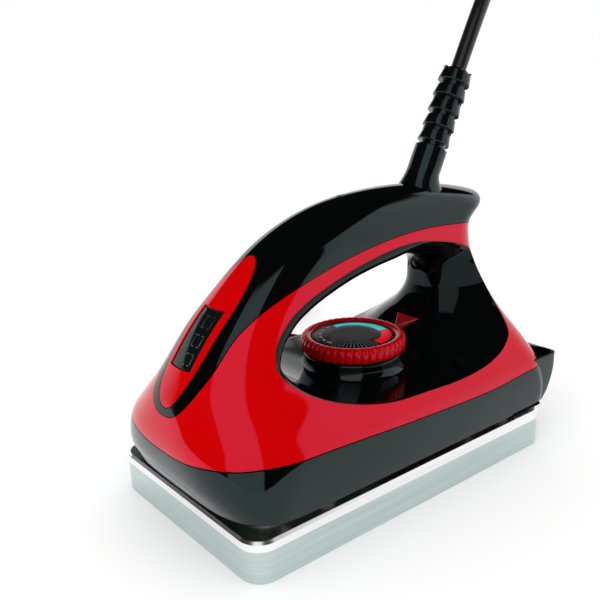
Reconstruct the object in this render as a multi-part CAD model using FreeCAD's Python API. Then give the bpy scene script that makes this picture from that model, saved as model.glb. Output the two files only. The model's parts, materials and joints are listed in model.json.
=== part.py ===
import FreeCAD, Part
import math
import os
from FreeCAD import Vector

# Electric waxing iron for skis and snowboards, with an aluminium sole plate, a two-colour housing,
# a closed handle with a temperature dial inside it, and a display in the nose.
#
# Frame, in millimetres: the origin is the centre of the sole plate's bottom face, +Z is up, the nose
# points along -Y, and the iron's left side is +X.

# ---------------------------------------------------------------- driving dimensions
PLATE_WIDTH = 100.0
PLATE_LENGTH = 170.0
PLATE_THICK = 17.0
PLATE_CORNER = 9.0
PLATE_BEVEL = 1.0

SKIRT_BOTTOM = 19.5
FLOOR_LOW = 22.0
FLOOR_TOP = 24.5
SHELL_WALL = 2.4
LINER_WALL = 2.2
CROWN_TOP = 123.9

DIAL_Y = 8.4
DIAL_FLOOR = 47.0
COLLAR_RADIUS = 22.2
COLLAR_TOP = 53.3
KNOB_RADIUS = 23.5
KNOB_LOW = 53.9
KNOB_HIGH = 60.6
FACE_RADIUS = 18.8
FACE_TOP = 59.9
FLUTES = 40
SPINDLE_RADIUS = 3.0
RUNNING_GAP = 0.06
BUSH_RADIUS = 4.9

BOOT_FOOT = Vector(0, 49.5, 120.6)
BOOT_LEAN = 27.0
BOOT_RADIUS = 7.5
BOOT_LENGTH = 56.0
BOOT_PITCH = 7.2
FOOT_RADIUS = 12.2
FOOT_LOW = 117.2
FOOT_HIGH = 127.0

CORD_RADIUS = 3.5
COIL_CENTRE = Vector(-104, 27, 0)
COIL_RADIUS = 38.5
COIL_COLUMNS = 4
COIL_LAYERS = 2

UP = Vector(0, 0, 1)
ACROSS = Vector(1, 0, 0)
ALONG = Vector(0, 1, 0)
BOOT_AXIS = Vector(0, math.sin(math.radians(BOOT_LEAN)), math.cos(math.radians(BOOT_LEAN)))

# The housing's level sections: height, front end, rear end, half width, length of the rounded nose,
# length of the rounded tail, and how square the corners are across and along.
SECTIONS = [
    (17.0, -84.0, 88.0, 48.6, 20, 12, 4.5, 3.0),
    (22.0, -86.5, 92.0, 49.2, 22, 13, 4.2, 3.0),
    (30.0, -90.0, 94.0, 49.2, 28, 15, 3.6, 2.7),
    (41.0, -91.5, 93.5, 48.2, 36, 19, 3.0, 2.3),
    (50.0, -89.7, 92.0, 42.8, 40, 22, 2.6, 2.1),
    (60.0, -86.3, 88.5, 34.0, 40, 22, 2.3, 2.0),
    (70.0, -80.0, 84.0, 27.0, 30, 20, 2.1, 2.0),
    (82.0, -70.5, 78.5, 22.3, 24, 18, 2.1, 2.0),
    (95.0, -57.0, 74.5, 19.2, 24, 17, 2.1, 2.0),
    (103.0, -47.5, 74.5, 18.3, 26, 17, 2.1, 2.0),
    (107.0, -42.0, 77.5, 18.0, 28, 18, 2.1, 2.0),
    (111.0, -35.5, 86.5, 16.9, 31, 20, 2.1, 2.0),
    (115.0, -27.5, 87.0, 15.0, 33, 24, 2.1, 2.0),
    (119.0, -17.0, 72.0, 11.8, 34, 30, 2.1, 2.0),
    (122.0, -4.0, 54.0, 7.8, 28, 26, 2.1, 2.0),
    (CROWN_TOP, 16.0, 33.0, 2.0, 6, 6, 2.1, 2.0),
]

# The handle opening as (y, z) pairs: its rim on the housing's flank, and the narrower throat at mid
# width that the rounded liner leaves free.
OPENING = [
    ((0.0, 97.6), (0.0, 90.5)),
    ((27.0, 100.9), (25.0, 93.5)),
    ((48.5, 98.1), (41.0, 91.5)),
    ((60.4, 94.3), (48.0, 88.0)),
    ((67.3, 83.6), (52.5, 80.0)),
    ((72.8, 71.8), (51.5, 71.0)),
    ((73.7, 61.5), (46.0, 62.5)),
    ((68.5, 54.5), (37.5, 56.0)),
    ((57.6, 49.4), (30.5, 49.0)),
    ((32.7, 46.5), (18.0, 47.0)),
    ((0.0, 47.0), (0.0, 47.0)),
    ((-23.0, 50.0), (-20.0, 48.0)),
    ((-38.0, 54.0), (-33.0, 52.5)),
    ((-48.3, 59.9), (-41.0, 58.0)),
    ((-54.0, 67.0), (-45.0, 66.0)),
    ((-52.8, 74.5), (-44.0, 72.5)),
    ((-40.4, 85.3), (-34.0, 79.5)),
    ((-25.0, 91.3), (-20.0, 85.0)),
]
OPENING_CENTRE = (8.0, 74.0)

# Seams on the side view as (y, z) pairs: skirt to body shell, and body shell to top shell.
LOW_SEAM = [(-100, 37.0), (-88, 40.2), (-72, 41.3), (-45, 40.6),
            (0, 38.2), (45, 36.8), (75, 38.6), (105, 41.0)]
TOP_SEAM = [(-96, 50.5), (-88.4, 51.4), (-86.2, 57.4), (-75, 69.8), (-62.5, 82.6), (-47, 91.0),
            (-28, 97.2), (0, 103.2), (31, 106.2), (65, 104.5), (95, 101.0)]


# ---------------------------------------------------------------- helpers
def save(name, shape):
    """Write one sub-part."""
    shape.exportStep("parts/" + name + ".step")
    print("%-20s solids %2d  volume %9.1f  valid %s"
          % (name, len(shape.Solids), shape.Volume, shape.isValid()))


def box(x0, x1, y0, y1, z0, z1):
    return Part.makeBox(x1 - x0, y1 - y0, z1 - z0, Vector(x0, y0, z0))


def rod(radius, start, end):
    """A round bar from one point to another."""
    start, end = Vector(*start), Vector(*end)
    return Part.makeCylinder(radius, (end - start).Length, start, end - start)


def turned(profile, foot=Vector(0, 0, 0), axis=UP):
    """A solid of revolution from (radius, height) pairs about an axis through foot."""
    points = [Vector(r, 0, h) for r, h in profile]
    face = Part.Face(Part.makePolygon(points + points[:1]))
    solid = face.revolve(Vector(0, 0, 0), UP, 360)
    solid.Placement = FreeCAD.Placement(foot, FreeCAD.Rotation(UP, axis))
    return solid


def fuse(shapes):
    return shapes[0].multiFuse(shapes[1:]) if len(shapes) > 1 else shapes[0]


def closed_spline(points):
    """A closed smooth curve whose knots are evenly spaced, so that sections of a loft match."""
    curve = Part.BSplineCurve()
    curve.interpolate(Points=points, PeriodicFlag=True, Parameters=[float(i) for i in range(len(points) + 1)])
    return Part.Wire([curve.toShape()])


def side_prism(points, closing):
    """A slab across the whole width, bounded by a smooth curve and by straight closing points."""
    curve = Part.BSplineCurve()
    curve.interpolate([Vector(-80, y, z) for y, z in points])
    corners = [points[-1]] + closing + [points[0]]
    edges = [curve.toShape()]
    for (y0, z0), (y1, z1) in zip(corners, corners[1:]):
        edges.append(Part.makeLine(Vector(-80, y0, z0), Vector(-80, y1, z1)))
    return Part.Face(Part.Wire(edges)).extrude(Vector(160, 0, 0))


# ---------------------------------------------------------------- housing surfaces
def section_points(section, inset):
    """Points round one level section, from the nose round the left side to the tail and back."""
    height, front, rear, half, nose, tail, across, along = section
    front, rear, half = front + inset, rear - inset, half - inset
    steps = 8
    side = []
    for i in range(steps + 1):
        angle = math.pi / 2 * (1 - i / steps)
        side.append((half * math.cos(angle) ** (2 / across),
                     front + nose * (1 - math.sin(angle) ** (2 / along))))
    straight = (rear - tail) - (front + nose)
    side += [(half, front + nose + straight * k / 4) for k in (1, 2, 3)]
    for i in range(steps + 1):
        angle = math.pi / 2 * i / steps
        side.append((half * math.cos(angle) ** (2 / across),
                     rear - tail * (1 - math.sin(angle) ** (2 / along))))
    side[0] = (0.0, front)
    side[-1] = (0.0, rear)
    other = [(-x, y) for x, y in side[-2:0:-1]]
    return [Vector(x, y, height) for x, y in side + other]


def housing(inset=0.0):
    """The housing as one solid; inset gives the hollow inside it."""
    sections = []
    for section in SECTIONS:
        if inset and section[0] > CROWN_TOP - 3:
            continue
        lowered = (section[0] - inset * 0.8 * (section[0] > 100),) + section[1:]
        sections.append(closed_spline(section_points(lowered, inset)))
    return Part.makeLoft(sections, True, True)


def half_width(height):
    """Half width of the housing at a height, straight between the sections."""
    for low, high in zip(SECTIONS, SECTIONS[1:]):
        if low[0] <= height <= high[0]:
            share = (height - low[0]) / (high[0] - low[0])
            return low[3] + share * (high[3] - low[3])
    return SECTIONS[0][3]


def opening_tool(margin=0.0):
    """The space of the handle opening; margin moves its wall outwards."""
    sections = []
    for x in (-56, -48, -42, -36, -30, -25, -20, -15, -10, -5, 0, 5, 10, 15, 20, 25, 30, 36, 42, 48, 56):
        points = []
        for (rim_y, rim_z), (throat_y, throat_z) in OPENING:
            share = max(0.0, 1 - abs(x / half_width(rim_z)) ** 3)
            y = rim_y + share * (throat_y - rim_y)
            z = rim_z + share * (throat_z - rim_z)
            away_y, away_z = y - OPENING_CENTRE[0], z - OPENING_CENTRE[1]
            reach = math.hypot(away_y, away_z)
            points.append(Vector(x, y + margin * away_y / reach, z + margin * away_z / reach))
        sections.append(closed_spline(points))
    return Part.makeLoft(sections, True, False)


def below_low_seam():
    return side_prism(LOW_SEAM, [(105, 0), (-100, 0)])


def above_top_seam():
    return side_prism(TOP_SEAM, [(95, 150), (-96, 150)])


# ---------------------------------------------------------------- sole plate and what heats it
ELEMENT_HALF = 28.0
ELEMENT_FRONT = -40.0
ELEMENT_REAR = 66.0
ELEMENT_HEIGHT = 9.0
ELEMENT_RADIUS = 4.0
SPACER_PLACES = [(-37, -62), (37, -62), (-37, 44), (37, 44)]
SENSOR_X = 14.0
MAT_TOP = 19.0
SHIELD_TOP = 20.0


def rounded_slab(width, length, radius, low, high):
    slab = box(-width / 2, width / 2, -length / 2, length / 2, low, high)
    upright = [e for e in slab.Edges if abs(e.tangentAt(e.FirstParameter).z) > 0.99]
    return slab.makeFillet(radius, upright)


def heating_element():
    """A U of sealed tube lying in the plate, with both ends turned up."""
    bend = Part.makeTorus(ELEMENT_HALF, ELEMENT_RADIUS, Vector(0, ELEMENT_FRONT, ELEMENT_HEIGHT), UP)
    front = bend.common(box(-60, 60, ELEMENT_FRONT - 60, ELEMENT_FRONT, 0, 40))
    shapes = [front]
    for x in (-ELEMENT_HALF, ELEMENT_HALF):
        shapes.append(rod(ELEMENT_RADIUS, (x, ELEMENT_FRONT, ELEMENT_HEIGHT),
                          (x, ELEMENT_REAR, ELEMENT_HEIGHT)))
        shapes.append(Part.makeSphere(ELEMENT_RADIUS, Vector(x, ELEMENT_REAR, ELEMENT_HEIGHT)))
        shapes.append(rod(ELEMENT_RADIUS, (x, ELEMENT_REAR, ELEMENT_HEIGHT), (x, ELEMENT_REAR, 27)))
        shapes.append(rod(1.5, (x, ELEMENT_REAR, 26), (x, ELEMENT_REAR, 33)))
    return fuse(shapes)


def element_room():
    """The bore that the turned-up ends need in the layers over the plate."""
    return fuse([rod(ELEMENT_RADIUS + 0.5, (x, ELEMENT_REAR, 16), (x, ELEMENT_REAR, 30))
                 for x in (-ELEMENT_HALF, ELEMENT_HALF)])


def sensor_bodies():
    """Temperature sensor and thermal fuse, small round capsules lying on the plate."""
    return [rod(2.0, (x, -8, MAT_TOP), (x, 8, MAT_TOP)) for x in (SENSOR_X, -SENSOR_X)]


def sensor_clip(x):
    """A sprung strap over a capsule, held down by its two feet."""
    outer = rod(2.8, (x, -3, MAT_TOP), (x, 3, MAT_TOP)).fuse(box(x - 2.8, x + 2.8, -3, 3, 17, MAT_TOP))
    feet = box(x - 8, x + 8, -3, 3, 17, 17.8)
    room = rod(2.0, (x, -4, MAT_TOP), (x, 4, MAT_TOP)).fuse(box(x - 2.0, x + 2.0, -4, 4, 16, MAT_TOP))
    return outer.fuse(feet).cut(room)


def sensor_room():
    return fuse([box(x - 9, x + 9, -10, 10, 16, 26) for x in (SENSOR_X, -SENSOR_X)]
                + [box(-7, 7, 58, 78, 16, 26)])


def spacer_room(radius, low, high):
    return fuse([rod(radius, (x, y, low), (x, y, high)) for x, y in SPACER_PLACES])


def pan_screw(x, y, tip, seat, shank, head_radius, head_height):
    """A screw standing up: its shank from tip to seat, and its head above the seat."""
    head = rod(head_radius, (x, y, seat), (x, y, seat + head_height))
    top = seat + head_height
    slot = box(x - head_radius, x + head_radius, y - 0.5, y + 0.5, top - 0.9, top + 1)
    return rod(shank, (x, y, tip), (x, y, seat)).fuse(head).cut(slot)


def make_plate_group():
    plate = rounded_slab(PLATE_WIDTH, PLATE_LENGTH, PLATE_CORNER, 0, PLATE_THICK)
    rims = [e for e in plate.Edges if abs(e.BoundBox.ZMin - PLATE_THICK) < 1e-6]
    plate = plate.makeChamfer(PLATE_BEVEL, rims)
    element = heating_element()
    plate = plate.cut(element).cut(spacer_room(2.0, 7, 18)).cut(rod(2.0, (0, 70, 9), (0, 70, 18)))
    save("sole_plate", plate)
    save("heating_element", element)

    layer = rounded_slab(82, 150, 8, PLATE_THICK, MAT_TOP)
    holes = fuse([spacer_room(4.3, 16, 26), element_room(), sensor_room()])
    save("insulation_mat", layer.cut(holes))
    save("heat_shield", rounded_slab(82, 150, 8, MAT_TOP, SHIELD_TOP).cut(holes))
    save("plate_spacers", spacer_room(4.0, PLATE_THICK, FLOOR_LOW).cut(spacer_room(2.1, 16, 23)))
    save("plate_screws", fuse([pan_screw(x, y, 8, FLOOR_TOP, 2.0, 3.6, 2.6) for x, y in SPACER_PLACES]))
    save("earth_tag", box(-5, 5, 64, 76, 17, 18).fuse(box(-1.5, 1.5, 59, 64.5, 17.9, 18.5))
         .fuse(box(-1.5, 1.5, 63, 66, 17, 18.5)).cut(rod(2.0, (0, 70, 16), (0, 70, 19))))
    save("earth_screw", pan_screw(0, 70, 10, 18, 2.0, 3.6, 2.2))
    sensor, fuse_body = sensor_bodies()
    save("temperature_sensor", sensor)
    save("thermal_fuse", fuse_body)
    save("sensor_clips", Part.Compound([sensor_clip(x) for x in (SENSOR_X, -SENSOR_X)]))


# ---------------------------------------------------------------- housing shells
POST_PLACES = [(-41, -44), (41, -44), (-41, 64), (41, 64)]
CROWN_PLACES = [(0, -14), (0, 24)]
BOARD_PLACES = [(-30, -66), (30, -66), (-30, -14), (30, -14)]
HEEL_REACH = 47.6
HEEL_WALL = 2.2
WINDOW_CENTRE = Vector(0, -72.9, 78.5)
WINDOW_TILT = 35.4
WINDOW_WIDE = 14.0
WINDOW_TALL = 24.6
OVAL_HALF = 10.1
LUG_RADIUS = 2.2
LUG_PLACES = (-17.4, 17.5)
OVAL_LOW = 54.7
OVAL_HIGH = 105.7


def heel(inset=0.0):
    """The square-cornered lip that rises behind the housing's rounded tail."""
    outline = [(60, SKIRT_BOTTOM), (86.4 - inset, SKIRT_BOTTOM), (91.6 - inset, 25), (94.8 - inset, 33),
               (95.4 - inset, 41.6), (60, 41.0)]
    if inset:
        outline = [(60, FLOOR_TOP), (91.0 - inset, FLOOR_TOP), (94.8 - inset, 33), (95.6 - inset, 48),
                   (60, 48)]
    reach = HEEL_REACH - inset
    points = [Vector(-reach, y, z) for y, z in outline]
    return Part.Face(Part.makePolygon(points + points[:1])).extrude(Vector(2 * reach, 0, 0))


def oval_prism():
    """The leaf-shaped outline of the display panel, projected along the iron."""
    middle = (OVAL_LOW + OVAL_HIGH) / 2
    tall = (OVAL_HIGH - OVAL_LOW) / 2
    points = []
    for i in range(24):
        angle = 2 * math.pi * i / 24
        points.append(Vector(OVAL_HALF * math.cos(angle), -110, middle + tall * math.sin(angle)))
    return Part.Face(closed_spline(points)).extrude(Vector(0, 80, 0))


def tilted(shape):
    """Turn a part drawn flat, face up at the origin, onto the display panel."""
    shape.Placement = FreeCAD.Placement(WINDOW_CENTRE, FreeCAD.Rotation(ACROSS, 90 - WINDOW_TILT))
    return shape


def flat_box(wide, tall, low, high):
    return tilted(box(-wide / 2, wide / 2, -tall / 2, tall / 2, low, high))


def make_housing_group():
    hull = housing()
    core = housing(SHELL_WALL)
    skin = hull.cut(core).cut(box(-80, 80, -120, 120, 0, SKIRT_BOTTOM))
    low, high = below_low_seam(), above_top_seam()
    rim_tool = opening_tool(LINER_WALL)
    throat_tool = opening_tool()

    # skirt: lower wall, floor, square heel, and the posts that carry the control board
    heel_shell = heel().cut(heel(HEEL_WALL)).cut(hull)
    floor = core.common(box(-80, 80, -120, 120, FLOOR_LOW, FLOOR_TOP))
    posts = fuse([rod(3.0, (x, y, FLOOR_LOW), (x, y, 29)) for x, y in BOARD_PLACES])
    skirt = fuse([skin.common(low), floor, heel_shell, posts])
    skirt = skirt.cut(spacer_room(2.1, 20, 30)).cut(element_room())
    skirt = skirt.cut(fuse([rod(1.6, (x, y, 20), (x, y, 30)) for x, y in POST_PLACES]))
    skirt = skirt.cut(fuse([rod(1.5, (x, y, 25), (x, y, 30)) for x, y in BOARD_PLACES]))
    skirt = skirt.cut(fuse([rod(3.2, (SENSOR_X * k, 14, 20), (SENSOR_X * k, 14, 26)) for k in (-1, 1)]))
    save("base_skirt", skirt)

    # body shell: the coloured flanks, with four posts for the housing screws
    posts = fuse([rod(4.0, (x, y, FLOOR_TOP), (x, y, 60)) for x, y in POST_PLACES]).common(hull)
    posts = posts.cut(fuse([rod(1.5, (x, y, 20), (x, y, 37)) for x, y in POST_PLACES]))
    middle = skin.cut(low).cut(high).cut(rim_tool)
    save("body_shell", middle.fuse(posts.cut(skin.common(low)).cut(rim_tool)))
    save("housing_screws", fuse([rod(1.5, (x, y, FLOOR_LOW), (x, y, 36)).fuse(
        rod(2.8, (x, y, SHIELD_TOP + 0.2), (x, y, FLOOR_LOW))) for x, y in POST_PLACES]))

    # top shell: nose and handle crown, with the panel opening, the boot hole and two screw posts
    oval = oval_prism()
    crown = skin.common(high).cut(rim_tool)
    posts = fuse([rod(3.5, (x, y, 99), (x, y, 122)) for x, y in CROWN_PLACES]).common(hull)
    crown = crown.fuse(posts).cut(fuse([rod(1.5, (x, y, 98), (x, y, 110)) for x, y in CROWN_PLACES]))
    boot_hole = rod(BOOT_RADIUS + 0.1, BOOT_FOOT - BOOT_AXIS * 12, BOOT_FOOT + BOOT_AXIS * 8)
    top_shell = crown.cut(oval).cut(boot_hole)
    save("top_shell", top_shell)

    # display panel: the leaf-shaped insert, its window, and two short posts for the display board
    panel = skin.common(high).common(oval)
    lugs = fuse([tilted(rod(LUG_RADIUS, (0, v, -9.4), (0, v, 3))) for v in LUG_PLACES]).common(hull)
    lugs = lugs.common(oval).cut(skin.cut(high))
    panel = panel.fuse(lugs).cut(flat_box(WINDOW_WIDE, WINDOW_TALL, -30, 20))
    panel = panel.cut(fuse([tilted(rod(LUG_RADIUS / 2, (0, v, -12), (0, v, -4))) for v in LUG_PLACES]))
    save("display_panel", panel)
    save("display_window", flat_box(WINDOW_WIDE, WINDOW_TALL, -2.4, -0.5))
    module = flat_box(21, 30, -8.0, -2.6).common(core)
    save("lcd_module", module.cut(flat_box(WINDOW_WIDE, WINDOW_TALL, -2.9, 5)))
    board = flat_box(24, 46, -11.2, -9.6)
    board = board.cut(fuse([tilted(rod(1.1, (0, v, -12), (0, v, -9))) for v in LUG_PLACES]))
    save("display_board", board)
    save("display_screws", fuse([tilted(rod(1.1, (0, v, -11.2), (0, v, -5)).fuse(
        rod(2.2, (0, v, -12.8), (0, v, -11.2)))) for v in LUG_PLACES]))

    # liner: the skin of the handle opening, with the dial's collar, bush hole and crown screw bosses
    liner = rim_tool.cut(throat_tool).common(hull)
    collar = rod(COLLAR_RADIUS, (0, DIAL_Y, 45), (0, DIAL_Y, COLLAR_TOP))
    collar = collar.cut(rod(COLLAR_RADIUS - 2.6, (0, DIAL_Y, DIAL_FLOOR), (0, DIAL_Y, 60)))
    bosses = fuse([rod(4.4, (x, y, 88), (x, y, 99)) for x, y in CROWN_PLACES]).cut(throat_tool).common(hull)
    liner = liner.fuse(collar).fuse(bosses)
    liner = liner.cut(rod(BUSH_RADIUS + 0.1, (0, DIAL_Y, 40), (0, DIAL_Y, 60)))
    liner = liner.cut(fuse([rod(1.6, (x, y, 80), (x, y, 100)) for x, y in CROWN_PLACES]))
    liner = liner.cut(fuse([rod(3.0, (x, y, 80), (x, y, 95.5)) for x, y in CROWN_PLACES]))
    lens = pointer_lens()
    liner = liner.cut(lens).cut(indicator_led())
    save("handle_liner", liner)
    save("crown_screws", fuse([rod(1.5, (x, y, 95.5), (x, y, 109)).fuse(
        rod(2.8, (x, y, 93.5), (x, y, 95.5))) for x, y in CROWN_PLACES]))
    save("pointer_lens", lens)
    save("indicator_led", indicator_led())
    return top_shell


# ---------------------------------------------------------------- temperature dial and its indicator
LENS_TIP = (35.9, 57.4)
LENS_BACK = (45.6, 60.8)
LENS_HALF = 7.0
LENS_THICK = 3.0


def pointer_lens():
    """A flat wedge whose tip points at the dial, set into the slope behind it."""
    (tip_y, tip_z), (back_y, back_z) = LENS_TIP, LENS_BACK
    corners = [Vector(0, tip_y, tip_z), Vector(LENS_HALF, back_y, back_z), Vector(-LENS_HALF, back_y, back_z)]
    slope = math.hypot(back_y - tip_y, back_z - tip_z)
    down = Vector(0, (back_z - tip_z) / slope, -(back_y - tip_y) / slope)
    plate = Part.Face(Part.makePolygon(corners + corners[:1])).extrude(down * LENS_THICK)
    foot = rod(2.4, (0, 42.8, 51.0), (0, 42.8, 58.5))
    return plate.fuse(foot)


def indicator_led():
    """A 3 mm lamp under the lens."""
    return rod(1.5, (0, 42.8, 46.5), (0, 42.8, 51.0)).fuse(rod(2.0, (0, 42.8, 45.5), (0, 42.8, 46.5)))


def make_dial_group():
    dial = Vector(0, DIAL_Y, 0)
    outer, grip = KNOB_RADIUS, 6.0
    knob = turned([(SPINDLE_RADIUS, 50.6), (grip, 50.6), (grip, KNOB_LOW), (outer - 0.6, KNOB_LOW),
                   (outer, KNOB_LOW + 0.6), (outer, KNOB_HIGH - 1.6), (outer - 1.4, KNOB_HIGH - 0.3),
                   (outer - 2.6, KNOB_HIGH), (FACE_RADIUS + 0.8, KNOB_HIGH), (FACE_RADIUS, KNOB_HIGH - 0.6),
                   (FACE_RADIUS, FACE_TOP - 1.2), (SPINDLE_RADIUS, FACE_TOP - 1.2)], dial)
    flutes = []
    for i in range(FLUTES):
        angle = 2 * math.pi * i / FLUTES
        place = dial + Vector(math.cos(angle), math.sin(angle), 0) * (outer + 0.35)
        flutes.append(Part.makeCylinder(0.85, 12, place + UP * 52))
    save("dial_knob", knob.cut(Part.Compound(flutes)))
    save("dial_face", rod(FACE_RADIUS, dial + UP * (FACE_TOP - 1.2), dial + UP * FACE_TOP))
    save("dial_spindle", rod(SPINDLE_RADIUS, dial + UP * 37.2, dial + UP * (FACE_TOP - 1.2)))

    bush = turned([(SPINDLE_RADIUS + RUNNING_GAP, 36.8), (11.5, 36.8), (11.5, 44.0), (BUSH_RADIUS, 44.0),
                   (BUSH_RADIUS, 50.0), (SPINDLE_RADIUS + RUNNING_GAP, 50.0)], dial)
    cap = rod(11.5, dial + UP * 33.5, dial + UP * 36.8)
    tabs = fuse([box(x - 1, x + 1, DIAL_Y - 15.5, DIAL_Y - 10, 34.0, 34.8) for x in (-5, 0, 5)])
    save("potentiometer", fuse([bush, cap, tabs]))
    hexagon = Part.makePolygon([dial + Vector(7.2 * math.cos(k * math.pi / 3), 7.2 * math.sin(k * math.pi / 3),
                                              DIAL_FLOOR) for k in range(7)])
    nut = Part.Face(hexagon).extrude(UP * 2.4)
    save("spindle_nut", nut.cut(rod(BUSH_RADIUS, dial + UP * 40, dial + UP * 55)))


# ---------------------------------------------------------------- control electronics
BOARD_LOW = 29.0
BOARD_TOP = 30.6


def make_electronics_group():
    board = box(-35, 35, -71, -9, BOARD_LOW, BOARD_TOP)
    board = board.cut(fuse([rod(1.5, (x, y, 28), (x, y, 32)) for x, y in BOARD_PLACES]))
    save("control_board", board)
    save("board_screws", fuse([pan_screw(x, y, 25, BOARD_TOP, 1.5, 2.8, 1.8) for x, y in BOARD_PLACES]))
    triac = box(14, 24, -50, -46, BOARD_TOP + 1, BOARD_TOP + 11)
    save("power_switch", triac.fuse(fuse([rod(0.5, (x, -48, BOARD_TOP), (x, -48, BOARD_TOP + 1))
                                           for x in (16.5, 19, 21.5)])))
    fins = [box(9, 29, -46, -44, BOARD_TOP, BOARD_TOP + 13)]
    fins += [box(x, x + 1.2, -44, -34, BOARD_TOP, BOARD_TOP + 13) for x in (9, 13.7, 18.4, 23.1, 27.8)]
    save("heat_sink", fuse(fins))
    save("capacitors", fuse([rod(r, (x, y, BOARD_TOP), (x, y, BOARD_TOP + h))
                             for r, x, y, h in ((5, -18, -60, 12), (5, -5, -60, 12), (3.2, 8, -62, 9))]))
    save("mains_relay", box(-27, -12, -44, -26, BOARD_TOP, BOARD_TOP + 12))
    block = box(-15, 15, 57, 71, FLOOR_TOP, 36)
    wells = fuse([rod(1.9, (x, y, 30), (x, y, 37)) for x in (-9, 0, 9) for y in (60.5, 67.5)])
    save("terminal_block", block.cut(wells))
    save("terminal_screws", fuse([rod(1.8, (x, y, 30), (x, y, 33))
                                  for x in (-9, 0, 9) for y in (60.5, 67.5)]))


# ---------------------------------------------------------------- cord, its boot and its plug
CLAMP_SINK = 16.0
BOOT_TIP = BOOT_FOOT + BOOT_AXIS * BOOT_LENGTH
CORD_START = BOOT_FOOT - BOOT_AXIS * CLAMP_SINK
LEAD_RADIUS = 1.1
PLUG_WIDE = 27.0
PLUG_HIGH = 24.0
PLUG_SLEEVE = 12.0
PLUG_LENGTH = 48.0
PIN_LENGTH = 16.0
PIN_SPACING = 12.7

# The way that the cord takes from the boot over and down to the floor, where the coil begins.
CORD_DROP = [
    (BOOT_TIP.x, BOOT_TIP.y, BOOT_TIP.z),
    (0.0, 86.4, 193.0),
    (-5.0, 103.0, 211.0),
    (-18.0, 122.0, 219.0),
    (-34.5, 138.5, 214.5),
    (-50.0, 149.0, 198.5),
    (-61.5, 149.5, 171.5),
    (-66.0, 138.5, 137.0),
    (-63.0, 127.5, 100.0),
    (-59.5, 118.0, 66.5),
    (-57.0, 108.5, 40.0),
    (-56.0, 93.0, 20.0),
    (-55.5, 62.0, 3.5),
    (-55.0, 27.0, 3.5),
]

# The end of the cord, from the coil's top layer to the plug.
CORD_TAIL = [
    (-153.0, 27.0, 10.5),
    (-153.5, 58.0, 9.0),
    (-171.3, 83.4, 12.0),
]
TAIL_END = Vector(*CORD_TAIL[-1])
PLUG_AXIS = Vector(-17.8, 25.4, 0).normalize()

# Three insulated conductors from the clamp, down the rear of the handle to the terminal block.
LEAD_ROUTE = [(43.0, 104.5), (55.0, 99.5), (65.0, 90.0), (66.0, 68.0), (64.0, 36.5)]


def rounded_path(points, share=0.45):
    """Straight runs joined by tangent arcs, each as large as its two runs allow; returns wire and radii."""
    points = [Vector(*p) for p in points]
    edges, radii = [], []
    reached = points[0]
    for before, corner, after in zip(points, points[1:], points[2:]):
        into = (corner - before).normalize()
        out = (after - corner).normalize()
        turn = into.getAngle(out)
        run = share * min((corner - before).Length, (after - corner).Length)
        radius = run / math.tan(turn / 2)
        start, end = corner - into * run, corner + out * run
        inward = (out - into).normalize()
        middle = corner + inward * (radius / math.cos(turn / 2) - radius)
        edges.append(Part.LineSegment(reached, start).toShape())
        edges.append(Part.Arc(start, middle, end).toShape())
        radii.append(radius)
        reached = end
    edges.append(Part.LineSegment(reached, points[-1]).toShape())
    return Part.Wire(edges), radii


def tube_along(points, radius):
    """A solid round bar along a rounded path, with its radii and length printed."""
    wire, radii = rounded_path(points)
    first = wire.Edges[0]
    ring = Part.Wire([Part.makeCircle(radius, Vector(*points[0]), first.tangentAt(first.FirstParameter))])
    tube = wire.makePipeShell([ring], True, False, 2)
    exact = math.pi * radius * radius * wire.Length
    print("tube: length %.0f, smallest radius %.1f, volume %.4f of exact"
          % (wire.Length, min(radii), tube.Volume / exact))
    return tube


def cord_coil():
    """The outer shape of the wound turns: a flat ring with rounded shoulders."""
    reach = (COIL_COLUMNS - 1) * CORD_RADIUS + CORD_RADIUS
    inner, outer = COIL_RADIUS - reach, COIL_RADIUS + reach
    top = 2 * CORD_RADIUS * COIL_LAYERS
    ease = 2.5
    return turned([(inner + ease, 0), (outer - ease, 0), (outer, ease), (outer, top - ease),
                   (outer - ease, top), (inner + ease, top), (inner, top - ease), (inner, ease)], COIL_CENTRE)


def plug_frame(shape):
    """Carry a part drawn along +Y from the origin to where the plug lies."""
    turn = math.degrees(math.atan2(-PLUG_AXIS.x, PLUG_AXIS.y))
    shape.Placement = FreeCAD.Placement(TAIL_END, FreeCAD.Rotation(UP, turn))
    return shape


def plug_ring(y, half_w, half_h):
    """One eight-sided cross section of the plug."""
    corners = [(-1, -0.6), (-0.6, -1), (0.6, -1), (1, -0.6), (1, 0.6), (0.6, 1), (-0.6, 1), (-1, 0.6),
               (-1, -0.6)]
    return Part.makePolygon([Vector(half_w * x, y, half_h * z) for x, z in corners])


def plug_body():
    """Moulded plug: a short sleeve that widens into the grip, lying on the floor."""
    half_w, half_h = PLUG_WIDE / 2, PLUG_HIGH / 2
    rings = [(0, 5.5, 5.5), (PLUG_SLEEVE, 6.2, 6.2), (PLUG_SLEEVE + 4, 9.5, 8.5),
             (PLUG_SLEEVE + 14, half_w - 0.5, half_h - 0.5), (PLUG_LENGTH, half_w, half_h)]
    return Part.makeLoft([plug_ring(*ring) for ring in rings], True, True)


def plug_pins():
    """Two flat blades and a round earth pin."""
    end = PLUG_LENGTH + PIN_LENGTH
    blades = [box(x - 0.75, x + 0.75, PLUG_LENGTH, end, -6.2, 0.2)
              for x in (-PIN_SPACING / 2, PIN_SPACING / 2)]
    return fuse(blades + [rod(2.4, (0, PLUG_LENGTH, 6.0), (0, end + 2, 6.0))])


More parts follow.
